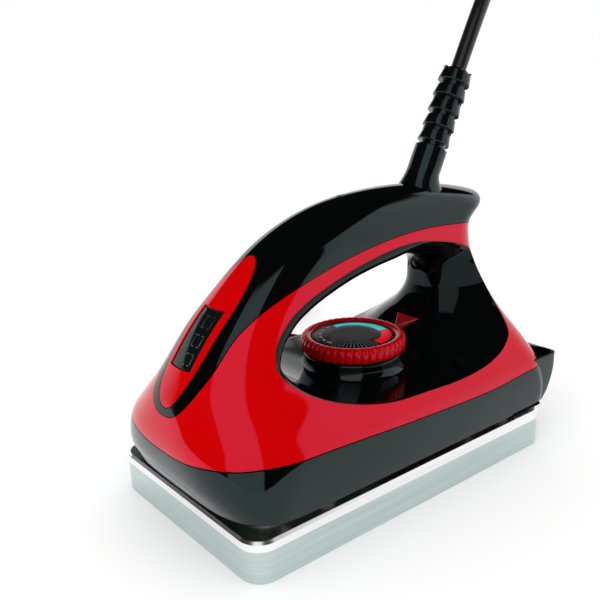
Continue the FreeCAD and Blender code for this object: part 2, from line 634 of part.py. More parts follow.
def make_cord_group(top_shell):
    profile = [(CORD_RADIUS + 0.1, -9.0), (BOOT_RADIUS, -9.0), (BOOT_RADIUS, 19.0)]
    step = 19.0
    while step + BOOT_PITCH < BOOT_LENGTH + 1.5:
        end = min(step + BOOT_PITCH, BOOT_LENGTH)
        profile += [(5.8, step + 0.2), (5.8, step + 1.8), (BOOT_RADIUS, step + 2.0), (BOOT_RADIUS, end)]
        step += BOOT_PITCH
    profile.append((CORD_RADIUS + 0.1, BOOT_LENGTH))
    bore = rod(CORD_RADIUS + 0.1, BOOT_FOOT - BOOT_AXIS * 12, BOOT_TIP)
    foot = turned([(0, FOOT_LOW), (FOOT_RADIUS, FOOT_LOW), (FOOT_RADIUS, FOOT_LOW + 1.0), (8.2, FOOT_HIGH),
                   (0, FOOT_HIGH)], Vector(0, BOOT_FOOT.y, 0)).cut(housing(SHELL_WALL)).cut(bore)
    save("cord_boot", turned(profile, BOOT_FOOT, BOOT_AXIS).fuse(foot).cut(top_shell))
    save("cord_entry", rod(CORD_RADIUS, CORD_START, BOOT_TIP))
    saddle_foot = CORD_START + BOOT_AXIS
    saddle = turned([(CORD_RADIUS, 0), (8.0, 0), (8.0, 5.0), (CORD_RADIUS, 5.0)], saddle_foot, BOOT_AXIS)
    middle = CORD_START + BOOT_AXIS * 3.5
    holes = [rod(1.25, middle + ACROSS * x - ALONG * 9, middle + ACROSS * x + ALONG * 9) for x in (-5.6, 5.6)]
    save("cord_clamp", saddle.cut(fuse(holes)))
    drum = turned([(0, 0), (8.0, 0), (8.0, 5.0), (0, 5.0)], saddle_foot, BOOT_AXIS)
    save("clamp_screws", fuse(holes).common(drum))
    save("lead_wires", Part.Compound([tube_along([(x, y, z) for y, z in LEAD_ROUTE], LEAD_RADIUS)
                                      for x in (-3.0, 0.0, 3.0)]))

    drop = tube_along(CORD_DROP, CORD_RADIUS)
    tail = tube_along(CORD_TAIL, CORD_RADIUS)
    save("mains_cord", drop)
    save("cord_tail", tail)
    save("cord_coil", cord_coil().cut(drop).cut(tail))
    save("plug_body", plug_frame(plug_body()))
    save("plug_pins", plug_frame(plug_pins()))


def main():
    os.makedirs("parts", exist_ok=True)
    make_plate_group()
    top_shell = make_housing_group()
    make_dial_group()
    make_electronics_group()
    make_cord_group(top_shell)


main()
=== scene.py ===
import json
import math

import bmesh
import bpy
import numpy as np
from mathutils import Matrix, Vector


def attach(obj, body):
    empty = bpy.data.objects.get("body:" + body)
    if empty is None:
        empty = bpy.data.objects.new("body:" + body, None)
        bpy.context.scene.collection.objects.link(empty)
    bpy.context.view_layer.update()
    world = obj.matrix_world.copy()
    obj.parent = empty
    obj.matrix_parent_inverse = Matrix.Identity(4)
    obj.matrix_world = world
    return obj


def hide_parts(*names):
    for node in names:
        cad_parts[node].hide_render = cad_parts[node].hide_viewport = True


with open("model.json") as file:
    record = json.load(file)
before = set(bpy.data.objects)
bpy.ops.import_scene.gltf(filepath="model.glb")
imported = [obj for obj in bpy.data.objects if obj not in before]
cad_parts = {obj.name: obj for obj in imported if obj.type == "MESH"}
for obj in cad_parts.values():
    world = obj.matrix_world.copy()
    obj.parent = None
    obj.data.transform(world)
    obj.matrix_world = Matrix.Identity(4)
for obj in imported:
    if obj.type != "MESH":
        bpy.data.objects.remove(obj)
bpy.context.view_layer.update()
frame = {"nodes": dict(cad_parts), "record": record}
MM = 0.001
BODY = "root"
DIAL = "dial"


def add_object(name, data):
    """A new object in the scene."""
    made = bpy.data.objects.new(name, data)
    bpy.context.scene.collection.objects.link(made)
    return made


# ---- camera
def look_from(place, azimuth, elevation, roll):
    """Camera matrix: azimuth 0 looks along +Y and 90 along -X."""
    a, e, r = (math.radians(v) for v in (azimuth, elevation, roll))
    back = Vector((math.sin(a) * math.cos(e), -math.cos(a) * math.cos(e), math.sin(e)))
    right = (-back).cross(Vector((0, 0, 1))).normalized()
    up = right.cross(-back)
    right, up = right * math.cos(r) + up * math.sin(r), up * math.cos(r) - right * math.sin(r)
    turn = Matrix((right, up, back)).transposed().to_4x4()
    return Matrix.Translation(place) @ turn


def add_camera():
    data = bpy.data.cameras.new("camera")
    camera = add_object("camera", data)
    data.sensor_width = 36.0
    data.lens = 47.118
    data.clip_start = 0.02
    data.clip_end = 50
    camera.matrix_world = look_from(Vector((0.24468, -0.21542, 0.17955)), 51.563, 17.293, -1.921)
    bpy.context.scene.camera = camera


add_camera()


# ---- the mains lead
CORD_RADIUS = 3.5
BOOT_FOOT = np.array([0.0, 49.5, 120.6])
BOOT_LEAN = math.radians(27.0)
BOOT_AXIS = np.array([0.0, math.sin(BOOT_LEAN), math.cos(BOOT_LEAN)])
BOOT_LENGTH = 56.0
BOOT_TIP = BOOT_FOOT + BOOT_AXIS * BOOT_LENGTH
CORD_DROP = [
    tuple(BOOT_TIP), (0.0, 86.4, 193.0), (-5.0, 103.0, 211.0), (-18.0, 122.0, 219.0), (-34.5, 138.5, 214.5),
    (-50.0, 149.0, 198.5), (-61.5, 149.5, 171.5), (-66.0, 138.5, 137.0), (-63.0, 127.5, 100.0),
    (-59.5, 118.0, 66.5), (-57.0, 108.5, 40.0), (-56.0, 93.0, 20.0), (-55.5, 62.0, 3.5)]
CORD_TAIL = [(-153.5, 58.0, 9.0), (-171.3, 83.4, 12.0)]
COIL_CENTRE = (-104.0, 27.0)
COIL_OUTER = 49.0
COIL_INNER = 28.0
COIL_TURNS = 6.5
POINTS_PER_TURN = 16


def coil_points():
    """Half of the turns run inwards on the floor, and the other half outwards on top of them."""
    count = int(COIL_TURNS * POINTS_PER_TURN)
    half_way = COIL_TURNS / 2
    points = []
    for i in range(count + 1):
        turn = i / POINTS_PER_TURN
        angle = -2 * math.pi * turn
        inward = min(turn, COIL_TURNS - turn) / half_way
        radius = COIL_OUTER - (COIL_OUTER - COIL_INNER) * inward
        lift = min(max((turn - half_way + 0.4) / 0.8, 0), 1)
        x = COIL_CENTRE[0] + radius * math.cos(angle)
        y = COIL_CENTRE[1] + radius * math.sin(angle)
        points.append((x, y, CORD_RADIUS * (1 + 2 * lift * lift * (3 - 2 * lift))))
    return points


def add_cord():
    data = bpy.data.curves.new("mains_lead", "CURVE")
    data.dimensions = "3D"
    data.bevel_depth = 1.0
    data.bevel_resolution = 6
    data.resolution_u = 6
    data.use_fill_caps = True
    route = CORD_DROP + coil_points() + CORD_TAIL
    spline = data.splines.new("NURBS")
    spline.points.add(len(route) - 1)
    for point, place in zip(spline.points, route):
        point.co = (*(v * MM for v in place), 1)
        point.radius = CORD_RADIUS * MM
    spline.order_u = 3
    spline.use_endpoint_u = True
    return add_object("mains_lead", data)


cord = add_cord()
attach(cord, BODY)
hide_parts("mains_cord", "cord_coil", "cord_tail")


# ---- node materials
SOCKETS = {
    "colour": "Base Color", "rough": "Roughness", "metal": "Metallic", "coat": "Coat Weight",
    "coat_rough": "Coat Roughness", "ior": "IOR", "transmission": "Transmission Weight",
    "specular": "Specular IOR Level", "tint": "Specular Tint", "emission": "Emission Color",
    "glow": "Emission Strength"}


def material(name):
    """A new node material with its tree and shader."""
    made = bpy.data.materials.new(name)
    made.use_nodes = True
    tree = made.node_tree
    shader = tree.nodes["Principled BSDF"]
    return made, tree, shader


def set_shader(shader, **values):
    for key, value in values.items():
        shader.inputs[SOCKETS[key]].default_value = value


def add_noise(tree, scale, detail=3.0, stretch=None):
    """A noise texture in object coordinates."""
    coords = tree.nodes.new("ShaderNodeTexCoord")
    noise = tree.nodes.new("ShaderNodeTexNoise")
    noise.inputs["Scale"].default_value = scale
    noise.inputs["Detail"].default_value = detail
    source = coords.outputs["Object"]
    if stretch:
        mapping = tree.nodes.new("ShaderNodeMapping")
        mapping.inputs["Scale"].default_value = stretch
        tree.links.new(source, mapping.inputs["Vector"])
        source = mapping.outputs["Vector"]
    tree.links.new(source, noise.inputs["Vector"])
    return noise


def ramp(tree, source, stops):
    """A colour ramp from (position, grey or colour) stops."""
    node = tree.nodes.new("ShaderNodeValToRGB")
    while len(node.color_ramp.elements) < len(stops):
        node.color_ramp.elements.new(0.5)
    for element, (position, value) in zip(node.color_ramp.elements, stops):
        element.position = position
        element.color = tuple(value) + (1,) if hasattr(value, "__len__") else (value, value, value, 1)
    tree.links.new(source, node.inputs["Fac"])
    return node.outputs["Color"]


def shades(tree, noise, colour, dark, light, low=0.3, high=0.7):
    """A colour that a noise varies between two shades of it."""
    ends = [tuple(c * k for c in colour) for k in (dark, light)]
    return ramp(tree, noise.outputs["Fac"], [(low, ends[0]), (high, ends[1])])


def add_bump(tree, shader, height, strength, distance):
    bump = tree.nodes.new("ShaderNodeBump")
    bump.inputs["Strength"].default_value = strength
    bump.inputs["Distance"].default_value = distance
    tree.links.new(height, bump.inputs["Height"])
    tree.links.new(bump.outputs["Normal"], shader.inputs["Normal"])


def axes(tree, kind="Object"):
    """The X, Y and Z sockets of a place."""
    coords = tree.nodes.new("ShaderNodeTexCoord")
    split = tree.nodes.new("ShaderNodeSeparateXYZ")
    tree.links.new(coords.outputs[kind], split.inputs["Vector"])
    return split.outputs


def calc(tree, kind, *values):
    """A Math node fed with sockets or numbers."""
    node = tree.nodes.new("ShaderNodeMath")
    node.operation = kind
    for socket, value in zip(node.inputs, values):
        if hasattr(value, "links"):
            tree.links.new(value, socket)
        else:
            socket.default_value = value
    return node.outputs[0]


def product(tree, *values):
    total = values[0]
    for value in values[1:]:
        total = calc(tree, "MULTIPLY", total, value)
    return total


def moulded(name, colour, rough, grain=0.0, spread=0.02, specular=0.5, tint=(1, 1, 1)):
    """Moulded plastic or rubber: faint colour drift, uneven gloss and a fine surface."""
    made, tree, shader = material(name)
    set_shader(shader, specular=specular, tint=tuple(tint) + (1,))
    drift = add_noise(tree, 22.0)
    tree.links.new(shades(tree, drift, colour, 1 - spread * 4, 1 + spread * 4), shader.inputs["Base Color"])
    wear = add_noise(tree, 130.0)
    tree.links.new(ramp(tree, wear.outputs["Fac"], [(0.35, rough * 0.9), (0.75, rough * 1.25)]),
                   shader.inputs["Roughness"])
    fine = add_noise(tree, 2600.0 if grain else 420.0, 2.0)
    add_bump(tree, shader, fine.outputs["Fac"], 0.35 if grain else 0.05, max(grain, 0.01) * MM)
    return made


def over(tree, base, mask, colour):
    """A base colour or socket, and another colour where the mask is 1."""
    mix = tree.nodes.new("ShaderNodeMix")
    mix.data_type = "RGBA"
    tree.links.new(mask, mix.inputs["Factor"])
    if hasattr(base, "links"):
        tree.links.new(base, mix.inputs["A"])
    else:
        mix.inputs["A"].default_value = tuple(base) + (1,)
    mix.inputs["B"].default_value = tuple(colour) + (1,)
    return mix.outputs["Result"]


def brushed(name, colour, rough, stretch=(30.0, 900.0, 900.0), depth=0.05, band=None):
    """Metal with fine lines along one axis. The band is the height (mm) and grey of a painted highlight
    above it, along the top edge.
    """
    made, tree, shader = material(name)
    set_shader(shader, metal=1.0)
    lines = add_noise(tree, 1.0, 4.0, stretch)
    base = shades(tree, lines, colour, 0.93, 1.05, 0.35, 0.65)
    if band:
        height, grey = band
        # Above the height the base colour is a painted highlight.
        base = over(tree, base, calc(tree, "GREATER_THAN", axes(tree)["Z"], height * MM), (grey,) * 3)
    tree.links.new(base, shader.inputs["Base Color"])
    tree.links.new(ramp(tree, lines.outputs["Fac"], [(0.3, rough * 0.8), (0.7, rough * 1.25)]),
                   shader.inputs["Roughness"])
    add_bump(tree, shader, lines.outputs["Fac"], 0.3, depth * MM)
    return made


def fibrous(name, colour):
    """A matt mat of strands."""
    made, tree, shader = material(name)
    strands = add_noise(tree, 1.0, 6.0, (180.0, 500.0, 500.0))
    tree.links.new(shades(tree, strands, colour, 0.7, 1.1), shader.inputs["Base Color"])
    set_shader(shader, rough=0.9)
    add_bump(tree, shader, strands.outputs["Fac"], 0.6, 0.3 * MM)
    return made


def clear_part(name, colour, rough, see_through):
    """Tinted clear plastic with a polished skin."""
    made, tree, shader = material(name)
    set_shader(shader, rough=rough, transmission=see_through, ior=1.49, coat=0.3, coat_rough=0.03)
    drift = add_noise(tree, 90.0)
    tree.links.new(shades(tree, drift, colour, 0.85, 1.15), shader.inputs["Base Color"])
    return made


COOL_TINT = (0.62, 0.88, 0.88)
ROSE_TINT = (1.0, 0.42, 0.95)
BLACK = (0.0012, 0.0016, 0.0014)
# Painted highlight on the sole's top edge: a near-white grey above 13 mm in place of a reflection.
PAINTED_TOP_HIGHLIGHT = (13.0, 0.93)
MATERIALS = {
    "sole_aluminium": brushed("aluminium", (0.54, 0.64, 0.63), 0.22, (14.0, 14.0, 700.0), 0.02,
                              PAINTED_TOP_HIGHLIGHT),
    "steel_parts": brushed("steel", (0.55, 0.55, 0.56), 0.3),
    "insulation": fibrous("mineral_mat", (0.72, 0.68, 0.58)),
    "brass_parts": brushed("brass", (0.78, 0.57, 0.22), 0.28),
    "black_gloss": moulded("black_gloss", BLACK, 0.045, tint=COOL_TINT),
    "liner_gloss": moulded("liner_gloss", BLACK, 0.07, specular=0.22, tint=COOL_TINT),
    "red_gloss": moulded("red_gloss", (0.55, 0.0005, 0.0008), 0.06, spread=0.004, specular=0.42,
                         tint=ROSE_TINT),
    "black_matt": moulded("black_matt", (0.02, 0.02, 0.022), 0.5, grain=0.03),
    "board_green": moulded("board_green", (0.02, 0.16, 0.06), 0.35),
    "led_red": clear_part("lamp_red", (0.8, 0.03, 0.02), 0.15, 0.5),
    "pointer_red": clear_part("pointer_red", (0.32, 0.002, 0.008), 0.12, 0.15),
    "knob_red": moulded("knob_red", (0.46, 0.0008, 0.0015), 0.1, spread=0.01, specular=0.36,
                        tint=ROSE_TINT),
    "dial_black": moulded("dial_black", (0.008, 0.008, 0.009), 0.3),
    "rubber_black": moulded("rubber_black", (0.002, 0.0026, 0.0026), 0.12, tint=COOL_TINT),
    "cord_black": moulded("cord_black", (0.005, 0.005, 0.0055), 0.3, grain=0.02),
    "wire_sleeve": moulded("wire_sleeve", (0.55, 0.55, 0.5), 0.4),
    "relay_blue": moulded("relay_blue", (0.03, 0.1, 0.4), 0.25),
    "ceramic": moulded("ceramic", (0.75, 0.73, 0.68), 0.35),
    "display_clear": moulded("display_dark", (0.004, 0.0055, 0.0055), 0.05, tint=COOL_TINT),
}


def paint_nodes():
    """Give every CAD node the material of its record slot."""
    for part in frame["record"]["subparts"]:
        node = frame["nodes"][part["node"]]
        node.data.materials.clear()
        node.data.materials.append(MATERIALS[part["material_slot"]])


paint_nodes()
cord.data.materials.append(MATERIALS["cord_black"])


# ---- the housing's surface
# Level sections: height, front end, rear end, half width, length of the rounded nose, length of the
# rounded tail, and how square the corners are across and along.
SECTIONS = np.array([
    (17.0, -84.0, 88.0, 48.6, 20, 12, 4.5, 3.0),
    (22.0, -86.5, 92.0, 49.2, 22, 13, 4.2, 3.0),
    (30.0, -90.0, 94.0, 49.2, 28, 15, 3.6, 2.7),
    (41.0, -91.5, 93.5, 48.2, 36, 19, 3.0, 2.3),
    (50.0, -89.7, 92.0, 42.8, 40, 22, 2.6, 2.1),
    (60.0, -86.3, 88.5, 34.0, 40, 22, 2.3, 2.0),
    (70.0, -80.0, 84.0, 27.0, 30, 20, 2.1, 2.0),
    (82.0, -70.5, 78.5, 22.3, 24, 18, 2.1, 2.0),
    (95.0, -57.0, 74.5, 19.2, 24, 17, 2.1, 2.0),
    (103.0, -47.5, 74.5, 18.3, 26, 17, 2.1, 2.0),
    (107.0, -42.0, 77.5, 18.0, 28, 18, 2.1, 2.0),
    (111.0, -35.5, 86.5, 16.9, 31, 20, 2.1, 2.0),
    (115.0, -27.5, 87.0, 15.0, 33, 24, 2.1, 2.0),
    (119.0, -17.0, 72.0, 11.8, 34, 30, 2.1, 2.0),
    (122.0, -4.0, 54.0, 7.8, 28, 26, 2.1, 2.0),
    (123.9, 24.0, 26.0, 0.0, 1.0, 1.0, 2.1, 2.0),
])
CROWN_LOW = 103.0
CROWN_HIGH = 123.9
CROWN_WIDTH = 18.3


def level(height):
    """A height's place on the surface: above CROWN_LOW it follows the crown's round."""
    height = np.asarray(height, float)
    share = np.clip((height - CROWN_LOW) / (CROWN_HIGH - CROWN_LOW), 0, 1)
    return np.where(height > CROWN_LOW, CROWN_LOW + (CROWN_HIGH - CROWN_LOW) * np.arcsin(share), height)


TOP_LEVEL = float(level(CROWN_HIGH))
LEVELS = np.linspace(17.0, TOP_LEVEL, 480)
LEVEL_SPREAD = 9.0


def cubic(t, start, end, leave, arrive):
    """Between two values, with the slope on leaving the first and on arriving at the other."""
    return (start * (1 + 2 * t) * (1 - t) ** 2 + leave * t * (1 - t) ** 2 + end * t * t * (3 - 2 * t)
            + arrive * t * t * (t - 1))


def monotone(knots, values, places):
    """A smooth curve that doesn't swing past its stations."""
    step, rise = np.diff(knots), np.diff(values)
    slope = rise / step
    tangent = np.zeros(len(knots))
    tangent[0], tangent[-1] = slope[0], slope[-1]
    for i in range(1, len(knots) - 1):
        if slope[i - 1] * slope[i] > 0:
            w0, w1 = 2 * step[i] + step[i - 1], step[i] + 2 * step[i - 1]
            tangent[i] = (w0 + w1) / (w0 / slope[i - 1] + w1 / slope[i])
    cell = np.clip(np.searchsorted(knots, places) - 1, 0, len(step) - 1)
    t = (places - knots[cell]) / step[cell]
    leave, arrive = step[cell] * tangent[cell], step[cell] * tangent[cell + 1]
    return cubic(t, values[cell], values[cell + 1], leave, arrive)


def smoothed(values, spread):
    """A running average with a bell-shaped weight, which keeps both ends in place."""
    reach = int(3 * spread)
    weights = np.exp(-0.5 * (np.arange(-reach, reach + 1) / spread) ** 2)
    before = 2 * values[0] - values[reach:0:-1]
    after = 2 * values[-1] - values[-2:-reach - 2:-1]
    padded = np.concatenate([before, values, after])
    return np.convolve(padded, weights / weights.sum(), "valid")


def section_columns():
    """The sections' measures at every level, with the crown's width rounded over."""
    knots = level(SECTIONS[:, 0])
    columns = [monotone(knots, SECTIONS[:, i], LEVELS) for i in range(1, 8)]
    round_top = CROWN_WIDTH * np.cos((LEVELS - CROWN_LOW) / (CROWN_HIGH - CROWN_LOW))
    columns[2] = np.where(LEVELS > CROWN_LOW, round_top, columns[2])
    return [smoothed(column, LEVEL_SPREAD) for column in columns]


COLUMNS = section_columns()


def height_of(lev):
    """The reverse of level()."""
    lev = np.asarray(lev, float)
    crown = CROWN_LOW + (CROWN_HIGH - CROWN_LOW) * np.sin((lev - CROWN_LOW) / (CROWN_HIGH - CROWN_LOW))
    return np.where(lev > CROWN_LOW, crown, lev)


def section_at(lev):
    return [np.interp(lev, LEVELS, column) for column in COLUMNS]


def around(way, lev):
    """Half width and length at a way round the left half of a section: 0 nose, 1 to 2 flank, 3 tail."""
    front, rear, half, nose, tail, across, along = section_at(lev)
    front_turn = np.clip(way, 0, 1) * math.pi / 2
    rear_turn = np.clip(3 - way, 0, 1) * math.pi / 2
    turn = np.minimum(front_turn, rear_turn)
    x = half * np.sin(turn) ** (2 / across)
    y_front = front + nose * (1 - np.cos(front_turn) ** (2 / along))
    y_rear = rear - tail * (1 - np.cos(rear_turn) ** (2 / along))
    flank = np.clip(way - 1, 0, 1)
    y = np.where(way < 1, y_front, np.where(way > 2, y_rear,
                                            (front + nose) * (1 - flank) + (rear - tail) * flank))
    return x, y


QUARTER = np.linspace(0, math.pi / 2, 120)
WAYS = np.concatenate([1 - np.cos(QUARTER), 1 + np.linspace(0.02, 0.98, 49), 2 + np.sin(QUARTER)])


def length_table():
    """For every level, the share of the section's length that each way has reached."""
    rows = []
    for lev in LEVELS:
        x, y = around(WAYS, lev)
        run = np.concatenate([[0], np.cumsum(np.hypot(np.diff(x), np.diff(y)))])
        rows.append(run / max(run[-1], 1e-9))
    return np.array(rows)


LENGTHS = length_table()
WAY_ROWS = np.tile(WAYS, (len(LEVELS), 1))


def look_up(values, lev, known, wanted):
    """Interpolate along the table rows of the two nearest levels, and between them."""
    values, lev = np.broadcast_arrays(np.asarray(values, float), np.asarray(lev, float))
    cell = np.clip((lev - LEVELS[0]) / (LEVELS[1] - LEVELS[0]), 0, len(LEVELS) - 1.001)
    low = cell.astype(int)
    part = cell - low
    out = np.empty(values.shape)
    for i in np.ndindex(values.shape):
        a = np.interp(values[i], known[low[i]], wanted[low[i]])
        b = np.interp(values[i], known[low[i] + 1], wanted[low[i] + 1])
        out[i] = a * (1 - part[i]) + b * part[i]
    return out


def surface(share, lev):
    """Points of the left flank, in millimetres."""
    x, y = around(look_up(share, lev, LENGTHS, WAY_ROWS), lev)
    return np.stack([x, y, height_of(lev) + 0 * x], axis=-1)


def on_flank(y, z):
    """(share, level) of a place given on the side view."""
    lev = level(z)
    front, rear, _, nose, tail, _, along = section_at(lev)
    ahead = np.clip((front + nose - y) / nose, 0, 1)
    behind = np.clip((y - rear + tail) / tail, 0, 1)
    flat = np.clip((y - front - nose) / np.maximum(rear - tail - front - nose, 1e-6), 0, 1)
    way = np.where(ahead > 0, np.arccos(ahead ** (along / 2)) / (math.pi / 2),
                   np.where(behind > 0, 3 - np.arccos(behind ** (along / 2)) / (math.pi / 2), 1 + flat))
    return np.stack([look_up(way, lev, WAY_ROWS, LENGTHS), lev + 0 * way], axis=-1)


def on_nose(x, z):
    """(share, level) of a place given on the front view."""
    lev = level(z)
    _, _, half, _, _, across, _ = section_at(lev)
    way = np.arcsin(np.clip(x / half, 0, 1) ** (across / 2)) / (math.pi / 2)
    return np.stack([look_up(way, lev, WAY_ROWS, LENGTHS), lev + 0 * way], axis=-1)


# ---- curves on it
def through(points, count, closed=False):
    """A smooth curve through given points, as count evenly spaced ones."""
    points = np.array(points, float)
    if closed:
        padded = np.vstack([points[-1], points, points[0], points[1]])
    else:
        padded = np.vstack([2 * points[0] - points[1], points, 2 * points[-1] - points[-2]])
    fine = []
    t = np.linspace(0, 1, 24, endpoint=False)[:, None]
    for p0, p1, p2, p3 in zip(padded, padded[1:], padded[2:], padded[3:]):
        d1 = np.linalg.norm(p2 - p1)
        m1 = (p2 - p0) / (np.linalg.norm(p1 - p0) + d1) * d1
        m2 = (p3 - p1) / (d1 + np.linalg.norm(p3 - p2)) * d1
        fine.append(cubic(t, p1, p2, m1, m2))
    fine = np.vstack(fine + [points[:1] if closed else points[-1:]])
    return evenly(fine, count, closed)


def columns_at(places, run, points):
    """Every column of the points at places along their run."""
    return np.stack([np.interp(places, run, column) for column in points.T], axis=1)


def evenly(points, count, closed=False):
    """Space points evenly along their line."""
    run = np.concatenate([[0], np.cumsum(np.linalg.norm(np.diff(points, axis=0), axis=1))])
    places = np.linspace(0, run[-1], count + 1)[:-1] if closed else np.linspace(0, run[-1], count)
    return columns_at(places, run, points)


# Seams: first places on the front view (half width, height), then places on the side view (y, height).
LOW_SEAM = (
    [(0, 37.9), (8, 38.1), (16, 38.7), (24, 39.6)],
    [(-88, 40.2), (-80, 41.0), (-72, 41.4), (-45, 40.6), (0, 38.2), (45, 36.8), (72, 38.2), (94.5, 40.6)])
TOP_SEAM = (
    [(0, 51.8), (4.5, 52.3), (8.6, 54.3), (11.6, 57.6), (13.6, 61.6)],
    [(-75, 69.8), (-62.5, 82.4), (-47, 91.0), (-28, 97.2), (0, 103.2), (31, 106.2), (65, 104.5),
     (76, 102.0)])
GAP = 0.14
SHARE_SCALE = 180.0


def seam_share(seam, count, offset):
    """A seam from nose to tail as (share, level); offset lifts or lowers it."""
    on_front, on_side = (np.array(points, float) for points in seam)
    anchors = np.vstack([on_nose(on_front[:, 0], on_front[:, 1] + offset),
                         on_flank(on_side[:, 0], on_side[:, 1] + offset)])
    line = through(anchors * (SHARE_SCALE, 1), 400) / (SHARE_SCALE, 1)
    line[:, 0] = np.clip(line[:, 0], 0, 1)
    return evenly_on_surface(line, count)


def evenly_on_surface(share_level, count):
    """Space (share, level) points evenly by their distance on the surface."""
    points = surface(share_level[:, 0], share_level[:, 1])
    run = np.concatenate([[0], np.cumsum(np.linalg.norm(np.diff(points, axis=0), axis=1) + 1e-6)])
    places = np.linspace(0, run[-1], count)
    return columns_at(places, run, share_level)


# ---- mesh building
def new_mesh(name, vertices, faces, slot, body=BODY, node=None):
    """A smooth piece from points in millimetres, riding on a body, in place of a node if one is named."""
    mesh = bpy.data.meshes.new(name)
    mesh.from_pydata([tuple(v) for v in np.asarray(vertices) * MM], [], faces)
    bm = bmesh.new()
    bm.from_mesh(mesh)
    bmesh.ops.remove_doubles(bm, verts=bm.verts, dist=2e-6)
    bmesh.ops.dissolve_degenerate(bm, edges=bm.edges, dist=1e-6)
    bmesh.ops.recalc_face_normals(bm, faces=bm.faces)
    bm.to_mesh(mesh)
    bm.free()
    made = add_object(name, mesh)
    mesh.materials.append(MATERIALS[slot])
    mesh.shade_smooth()
    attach(made, body)
    if node:
        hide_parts(node)
    return made


def grid_faces(rows, columns, closed_columns=False):
    """Quads between the neighbours of a grid of points, listed row by row."""
    faces = []
    for i in range(rows - 1):
        for j in range(columns if closed_columns else columns - 1):
            here, beside = i * columns + j, i * columns + (j + 1) % columns
            faces.append((here, beside, beside + columns, here + columns))
    return faces


def mirrored(points, faces):
    """Both halves of a piece that is drawn on the left."""
    other = points * np.array([-1, 1, 1])
    count = len(points)
    return np.vstack([points, other]), faces + [tuple(i + count for i in reversed(f)) for f in faces]


def ruled(first, last, rows, ease=None):
    """Rows of (share, level) from one curve to another."""
    v = np.linspace(0, 1, rows)
    v = ease(v) if ease else v
    return first[None] * (1 - v[:, None, None]) + last[None] * v[:, None, None]


def close_to_edges(v):
    """Finer spacing next to both borders."""
    return v - 0.09 * np.sin(2 * math.pi * v)


def untangle(grid, closed=False, rounds=80):
    """Move the inner points of a (share, level) grid until no rows or columns cross; borders stay."""
    g = grid * (SHARE_SCALE, 1)
    for _ in range(rounds):
        before, after = np.roll(g, 1, axis=1), np.roll(g, -1, axis=1)
        along, across = (after - before)[1:-1] / 2, (g[2:] - g[:-2]) / 2
        along_weight = (across ** 2).sum(axis=2, keepdims=True)
        across_weight = (along ** 2).sum(axis=2, keepdims=True)
        shear = (along * across).sum(axis=2, keepdims=True)
        twist = (after[2:] - before[2:] - after[:-2] + before[:-2]) / 4
        moved = along_weight * (before + after)[1:-1] + across_weight * (g[2:] + g[:-2])
        moved -= 2 * shear * twist
        moved /= 2 * (along_weight + across_weight) + 1e-12
        if not closed:
            moved[:, 0], moved[:, -1] = g[1:-1, 0], g[1:-1, -1]
        g[1:-1] += 0.8 * (moved - g[1:-1])
    return g / (SHARE_SCALE, 1)


HOUSING_MIDDLE = Vector((0, 0, 55.0)) * MM
OPENING_MIDDLE = Vector((0, 8.0, 74.0)) * MM


def shell(name, grid, slot, node, wall=2.0, closed=False, edge=0.28):
    """A skin from a (share, level) grid, mirrored, with a real wall and softly rounded edges."""
    rows, columns = grid.shape[:2]
    points = surface(grid[..., 0], grid[..., 1]).reshape(-1, 3)
    points, faces = mirrored(points, grid_faces(rows, columns, closed_columns=closed))
    made = new_mesh(name, points, faces, slot, node=node)
    face_from(made, HOUSING_MIDDLE)
    thicken(made, wall)
    round_edges(made, edge)
    return made


def face_from(made, centre, away=True):
    """Turn the faces away from a point, or towards it."""
    bm = bmesh.new()
    bm.from_mesh(made.data)
    total = sum(f.normal.dot(f.calc_center_median() - centre) * f.calc_area() for f in bm.faces)
    if (total > 0) != away:
        bmesh.ops.reverse_faces(bm, faces=bm.faces)
    bm.to_mesh(made.data)
    bm.free()


def thicken(made, wall):
    """Give a skin a wall behind its faces."""
    solid = made.modifiers.new("wall", "SOLIDIFY")
    solid.thickness = wall * MM
    solid.offset = -1
    solid.use_even_offset = False
    solid.use_rim = True


def round_edges(made, width, segments=2, angle=50):
    """Round the edges that turn by more than an angle in degrees."""
    bevel = made.modifiers.new("edges", "BEVEL")
    bevel.width = width * MM
    bevel.segments = segments
    bevel.limit_method = "ANGLE"
    bevel.angle_limit = math.radians(angle)
    bevel.harden_normals = True
    bevel.use_clamp_overlap = True


def revolve(profile, steps, foot=(0, 0, 0), axis=(0, 0, 1), shape=None):
    """Points and faces of a turned piece from (radius, height) pairs. The shape varies the radius."""
    axis = np.array(axis, float)
    side = np.array([1.0, 0, 0])
    other = np.cross(axis, side)
    points = []
    for radius, height in profile:
        for i in range(steps):
            angle = 2 * math.pi * i / steps
            r = shape(angle, radius, height) if shape else radius
            spoke = side * math.cos(angle) + other * math.sin(angle)
            points.append(np.array(foot) + axis * height + spoke * r)
    return np.array(points), grid_faces(len(profile), steps, closed_columns=True)


def arc(centre, radius, start, end, count):
    """(radius, height) points round a fillet, angles in degrees."""
    angles = np.radians(np.linspace(start, end, count))
    return [(centre[0] + radius * math.cos(a), centre[1] + radius * math.sin(a)) for a in angles]


# ---- skirt and heel
SKIRT_LOW = 19.6
SKIRT_WALL = 2.2
CORNER_LIFT = 1.6
CORNER_SHARE = 0.16
CORNER_SPREAD = 0.07


def add_skirt():
    """The black base ring, from its lower edge, lifted at the front corners, up to the seam."""
    columns = 150
    top = seam_share(LOW_SEAM, columns, -GAP)
    low = np.stack([np.linspace(0, 1, columns), np.full(columns, SKIRT_LOW)], axis=1)
    low[:, 1] += CORNER_LIFT * np.exp(-((low[:, 0] - CORNER_SHARE) / CORNER_SPREAD) ** 2)
    grid = ruled(low, top, 30, close_to_edges)
    shell("skirt", grid, "black_gloss", "base_skirt", wall=SKIRT_WALL, edge=0.5)


HEEL_OUTLINE = [(83.5, 19.6), (86.2, 19.7), (88.0, 20.6), (91.6, 25.0), (94.8, 33.0), (95.4, 41.8)]
HEEL_HALF = 47.6
HEEL_START = 62.0
HEEL_CORNER = 2.2


